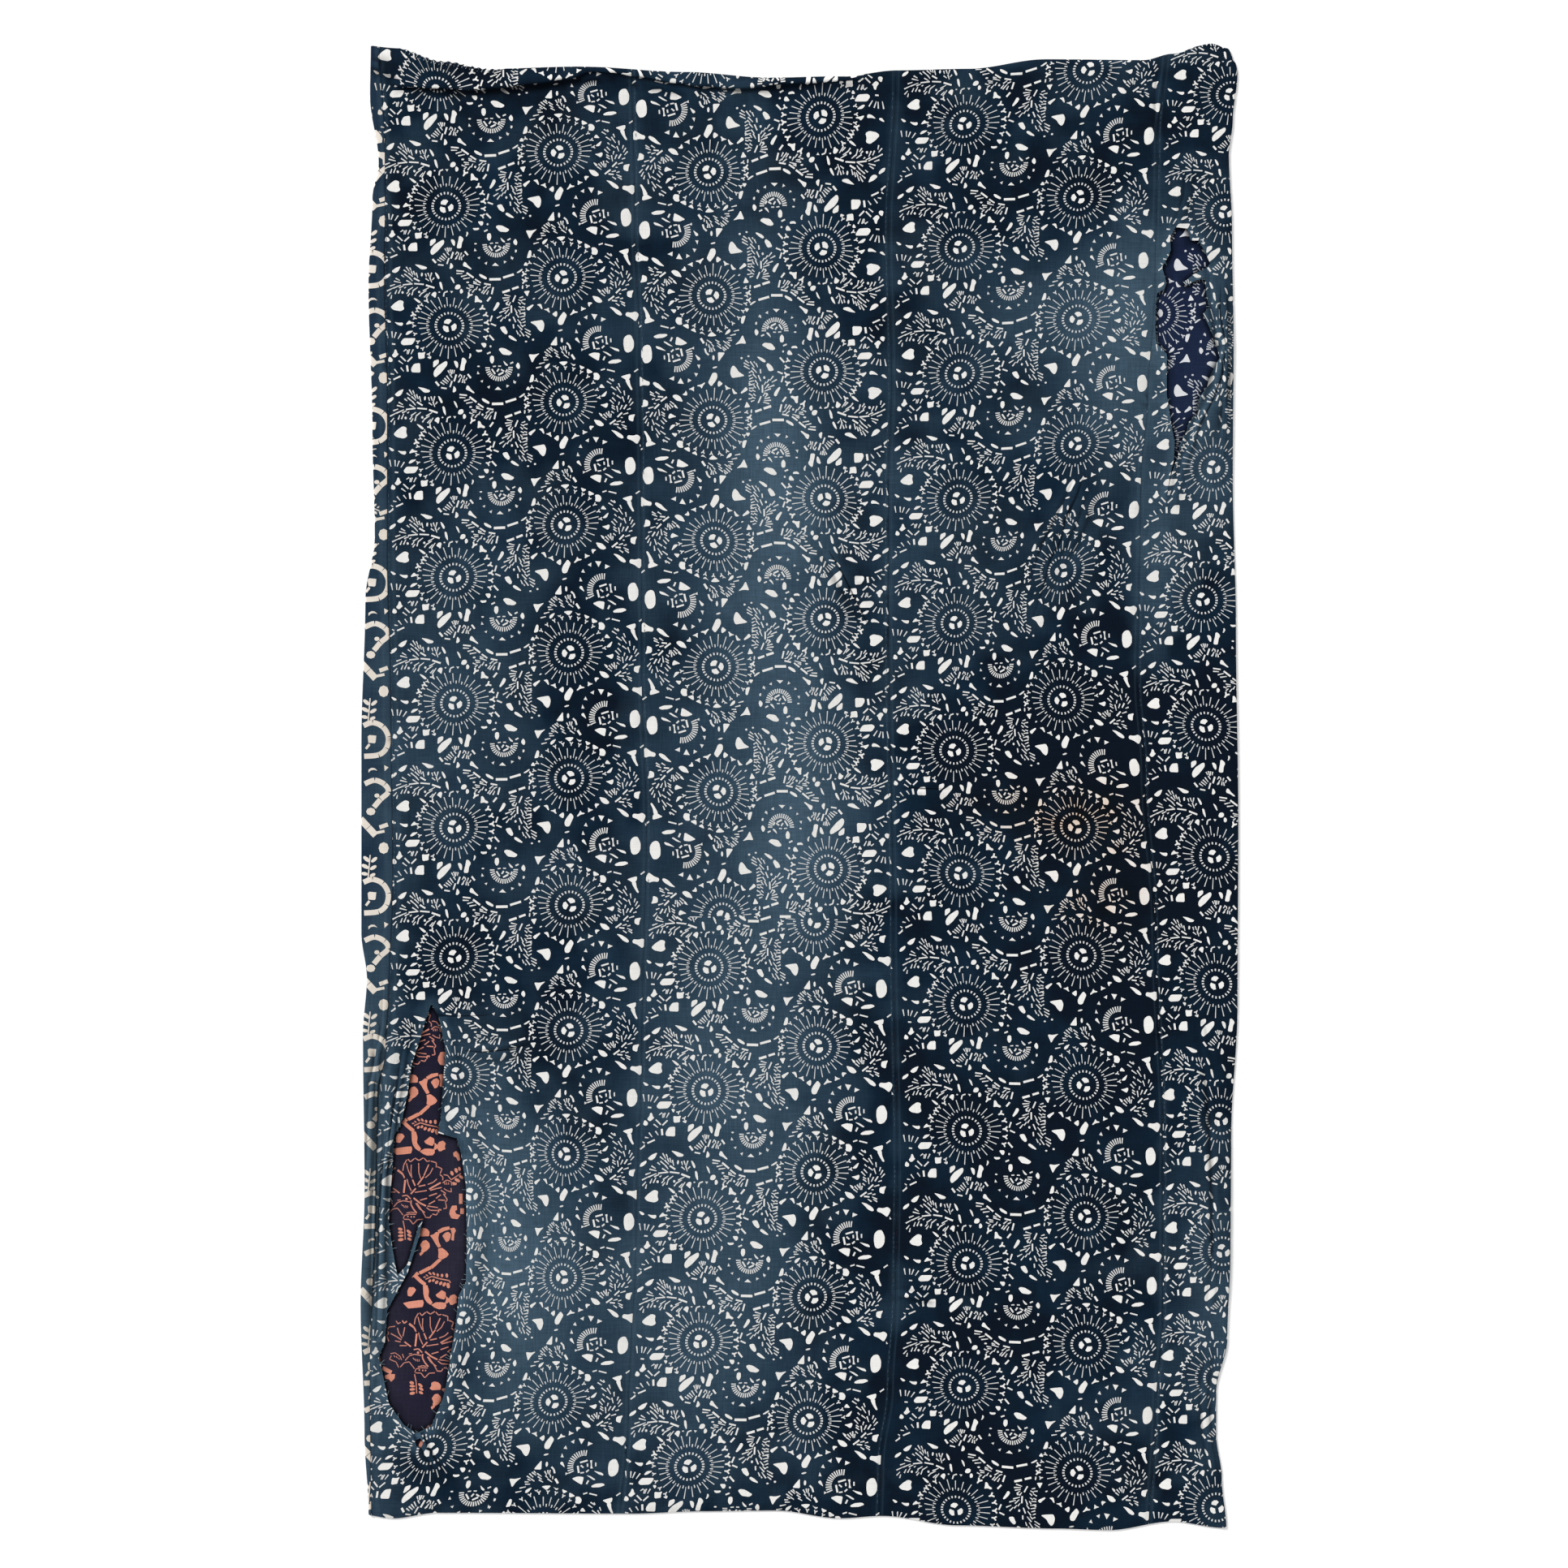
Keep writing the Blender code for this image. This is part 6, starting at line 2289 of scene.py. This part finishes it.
@dataclass
class Sewing:
    """Hand stitches and loose threads, each a thin bar of a few faces.

    Attributes:
        thread: The sewing thread's thickness, in millimetres, a little more than the real 0.4.
        fray: The loose threads' thickness.
        draw: Draws the lengths and places of all of them.
    """

    thread: float = 0.6
    fray: float = 0.45
    draw: random.Random = field(default_factory=lambda: random.Random(7))

    # Each front seam, and how far beside it its stitches lie
    SEAMS = ((STRIP_SEAM, 2.2), (LEFT_SEAM, 3.4), (MIDDLE_SEAM, -3.2), (RIGHT_SEAM, 2.6))
    # Where the running stitches start and stop along the cover, and how many of them show
    RUN = (34.0, 1826.0)
    SHOWN = 0.62
    # Where the edge is sewn over: along the right side, and across the top
    RIGHT_WHIPS = (1398.0, 1544.0)
    TOP_WHIPS = (58.0, 176.0)
    # Each torn rim, how many threads hang from it and how long they are
    RIMS = ((LEFT_TEAR, 176, 8.0), (RIGHT_TEAR, 104, 5.5), (LITTLE_HOLE, 14, 3.0))

    @staticmethod
    def bar(bm: bmesh.types.BMesh, start: Vector, end: Vector, thick: float) -> None:
        """Add a thin bar between two places given in millimetres.

        Args:
            bm: The bmesh that takes the thread.
            start: One end.
            end: The other end.
            thick: The bar's thickness.
        """
        step = end - start
        turn = step.to_track_quat("Y", "Z").to_matrix().to_4x4()
        middle = Vector(to_frame(np.array((start + end) / 2)))
        size = Matrix.Diagonal((thick * MM, step.length * MM, thick * MM * 0.7, 1.0))
        bmesh.ops.create_cube(bm, size=1.0, matrix=Matrix.Translation(middle) @ turn @ size)

    def path(self, bm: bmesh.types.BMesh, spots: Sequence[Spot], thick: float, lift: float) -> None:
        """Add a thread that lies over the front through some places.

        Args:
            bm: The bmesh that takes the thread.
            spots: The places, as (across, along).
            thick: The thread's thickness.
            lift: How far it lies above the cloth.
        """
        flat = np.array(spots, dtype=float)
        height = Lie.dressed_height(flat[:, 0], flat[:, 1]) + CLOTH / 2 + lift
        places = [Vector((x, y, z)) for (x, y), z in zip(spots, height)]
        for start, end in zip(places, places[1:]):
            self.bar(bm, start, end, thick)

    def running(self, bm: bmesh.types.BMesh) -> None:
        """Sew the seams of the front: uneven stitches that show in places.

        Args:
            bm: The bmesh that takes the thread.
        """
        for seam, aside in self.SEAMS:
            along = self.RUN[0]
            while along < self.RUN[1]:
                length = self.draw.uniform(2.2, 4.6)
                if self.draw.random() < self.SHOWN:
                    off = aside + self.draw.uniform(-0.5, 0.5)
                    spots = [(float(bent(seam, at)) + off, at) for at in (along, along + length)]
                    self.path(bm, spots, self.thread, 0.05)
                along += length + self.draw.uniform(2.0, 3.6)

    def whipped(self, bm: bmesh.types.BMesh) -> None:
        """Sew over the edge at the upper right, and over the gathers at the top left.

        Args:
            bm: The bmesh that takes the thread.
        """
        along = self.RIGHT_WHIPS[0]
        while along < self.RIGHT_WHIPS[1]:
            edge = float(bent(RIGHT_EDGE, along))
            self.path(bm, [(edge - 7.5, along + 1.8), (edge - 3.6, along)], self.thread, 0.1)
            along += self.draw.uniform(4.4, 6.2)
        across = self.TOP_WHIPS[0]
        while across < self.TOP_WHIPS[1]:
            edge = float(bent(TOP_EDGE, across))
            self.path(bm, [(across - 1.2, edge - 5.4), (across + 0.6, edge - 1.6)], self.thread, 0.1)
            across += self.draw.uniform(4.2, 5.4)

    def frayed(self, bm: bmesh.types.BMesh, rim: Sequence[Spot], count: int, reach: float) -> None:
        """Let loose threads hang from a tear's rim.

        Args:
            bm: The mesh to add to.
            rim: The places round the tear.
            count: How many threads.
            reach: How long they are, in millimetres.
        """
        points = np.array(rim, dtype=float)
        middle = points.mean(axis=0)
        # Each hangs into the tear, turned to either side, bends a little, and most are short
        for _ in range(count):
            index = self.draw.randrange(len(rim))
            start, end = points[index], points[(index + 1) % len(rim)]
            at = start + (end - start) * self.draw.random()
            way = (middle - at) / np.linalg.norm(middle - at)
            turn = self.draw.uniform(-1.1, 1.1)
            along = np.array([way[0] * math.cos(turn) - way[1] * math.sin(turn),
                              way[0] * math.sin(turn) + way[1] * math.cos(turn)])
            bend = np.array([-along[1], along[0]]) * self.draw.uniform(-0.35, 0.35)
            length = reach * (0.15 + 0.85 * self.draw.random() ** 2)
            spots = [tuple(at + (along * t + bend * t * t) * length - along * 1.2)
                     for t in (0.0, 0.35, 0.7, 1.0)]
            self.path(bm, spots, self.fray, -0.25)

    def piece(self, name: str, bm: bmesh.types.BMesh, finish: Cotton) -> None:
        """Make a piece of the bars.

        Args:
            name: The piece's name.
            bm: The bmesh with the bars, which is freed.
            finish: The thread's finish.
        """
        bmesh.ops.recalc_face_normals(bm, faces=bm.faces[:])
        mesh = bpy.data.meshes.new(name)
        bm.to_mesh(mesh)
        bm.free()
        mesh.materials.append(MATERIALS[finish.name])
        piece = bpy.data.objects.new(name, mesh)
        bpy.context.collection.objects.link(piece)
        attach(piece, "root")
        LOG.info("%s: %d faces", name, len(mesh.polygons))

    def build(self) -> None:
        """Sew the cover and fray its tears."""
        bm = bmesh.new()
        self.running(bm)
        self.piece("seam_stitches", bm, THREAD)
        bm = bmesh.new()
        self.whipped(bm)
        self.piece("whip_stitches", bm, PALE_THREAD)
        bm = bmesh.new()
        for rim, count, reach in self.RIMS:
            self.frayed(bm, rim, count, reach)
        self.piece("frayed_threads", bm, FRAYED)


class Studio:
    """The floor, the lights and the camera."""

    LENS_MM = 120.0
    SENSOR_MM = 36.0
    FRAME_WIDTH = 1.99
    AIM = (-0.0196, 0.0036)
    FLOOR_DROP = -0.0003
    LIGHT_WAY = (0.55, -0.6, -0.55)
    LIGHT_DEGREES = 24
    LIGHT_STRENGTH = 2.7
    WORLD_STRENGTH = 0.6
    FLOOR_SIZE = 12.0

    def floor(self) -> None:
        """Lay a pale floor under the cover."""
        bm = bmesh.new()
        bmesh.ops.create_grid(bm, x_segments=1, y_segments=1, size=self.FLOOR_SIZE)
        mesh = bpy.data.meshes.new("floor")
        bm.to_mesh(mesh)
        bm.free()
        mesh.transform(Matrix.Translation((0, 0, self.FLOOR_DROP)))
        mesh.materials.append(PaleFloor().material())
        floor = bpy.data.objects.new("floor", mesh)
        bpy.context.collection.objects.link(floor)

    def lights(self) -> None:
        """Light it softly from all round, a little more from the upper left."""
        world = bpy.data.worlds.new("studio")
        world.use_nodes = True
        bpy.context.scene.world = world
        sky = world.node_tree.nodes["Background"]
        sky.inputs["Color"].default_value = (1, 1, 1, 1)
        sky.inputs["Strength"].default_value = self.WORLD_STRENGTH
        light = bpy.data.lights.new("soft window", "SUN")
        light.angle = math.radians(self.LIGHT_DEGREES)
        light.energy = self.LIGHT_STRENGTH
        lamp = bpy.data.objects.new("soft window", light)
        lamp.rotation_euler = Vector(self.LIGHT_WAY).to_track_quat("-Z", "Y").to_euler()
        bpy.context.collection.objects.link(lamp)

    def camera(self) -> None:
        """Look straight down on the cover."""
        camera = bpy.data.cameras.new("camera")
        camera.lens = self.LENS_MM
        camera.sensor_width = self.SENSOR_MM
        camera.clip_end = 100.0
        stand = bpy.data.objects.new("camera", camera)
        stand.location = (*self.AIM, self.FRAME_WIDTH * self.LENS_MM / self.SENSOR_MM)
        bpy.context.collection.objects.link(stand)
        bpy.context.scene.camera = stand

    def build(self) -> None:
        """Set everything up."""
        self.floor()
        self.lights()
        self.camera()
        bpy.context.scene.view_settings.view_transform = "Standard"


MATERIALS: dict[str, bpy.types.Material] = {}


def main() -> None:
    """Build the cover and its studio."""
    logging.basicConfig(level=logging.INFO, format="%(name)s %(message)s")
    for finish in (INDIGO, UNDYED, INNER_NAVY, INNER_WHITE, OUTER_BLUE, OUTER_VINE, INNER_DARK,
                   INNER_VINE, THREAD, PALE_THREAD, FRAYED):
        MATERIALS[finish.name] = finish.material()
    flowers = (INDIGO, UNDYED)
    vines = (OUTER_BLUE, OUTER_VINE, INNER_DARK, INNER_VINE)
    FrontWidth("front_left", "flower_cloth", (0.325, 1.88), flowers, left_print,
               (LEFT_TEAR, LITTLE_HOLE), seams=(STRIP_SEAM, LEFT_SEAM)).build()
    FrontWidth("front_mid_left", "flower_cloth", (0.325, 1.86), flowers, middle_left_print,
               seams=(LEFT_SEAM, MIDDLE_SEAM)).build()
    FrontWidth("front_mid_right", "flower_cloth", (0.325, 1.87), flowers, middle_right_print,
               seams=(MIDDLE_SEAM, RIGHT_SEAM)).build()
    WrappedWidth("side_right", "flower_cloth", (0.307, 1.88), flowers + (INNER_NAVY, INNER_WHITE),
                 side_print, (RIGHT_TEAR,)).build()
    WrappedWidth("back_left", "vine_cloth", (0.325, 1.87), vines, left_vines, edge=LEFT_EDGE,
                 front_seam=STRIP_SEAM, back_seam=BACK_SEAM_LEFT, inward=1,
                 seen_through=LEFT_TEAR).build()
    # These are laid upside down, so their inner face comes first
    for name, seams in (("back_middle", (BACK_SEAM_LEFT, BACK_SEAM_RIGHT)),
                        ("back_right", (BACK_SEAM_RIGHT, BACK_SEAM_SIDE))):
        BackWidth(name, "vine_cloth", (0.325, 1.87), vines[2:] + vines[:2], flat_vines,
                  seams=seams).build()
    Sewing().build()
    Studio().build()


if __name__ == "__main__":
    main()
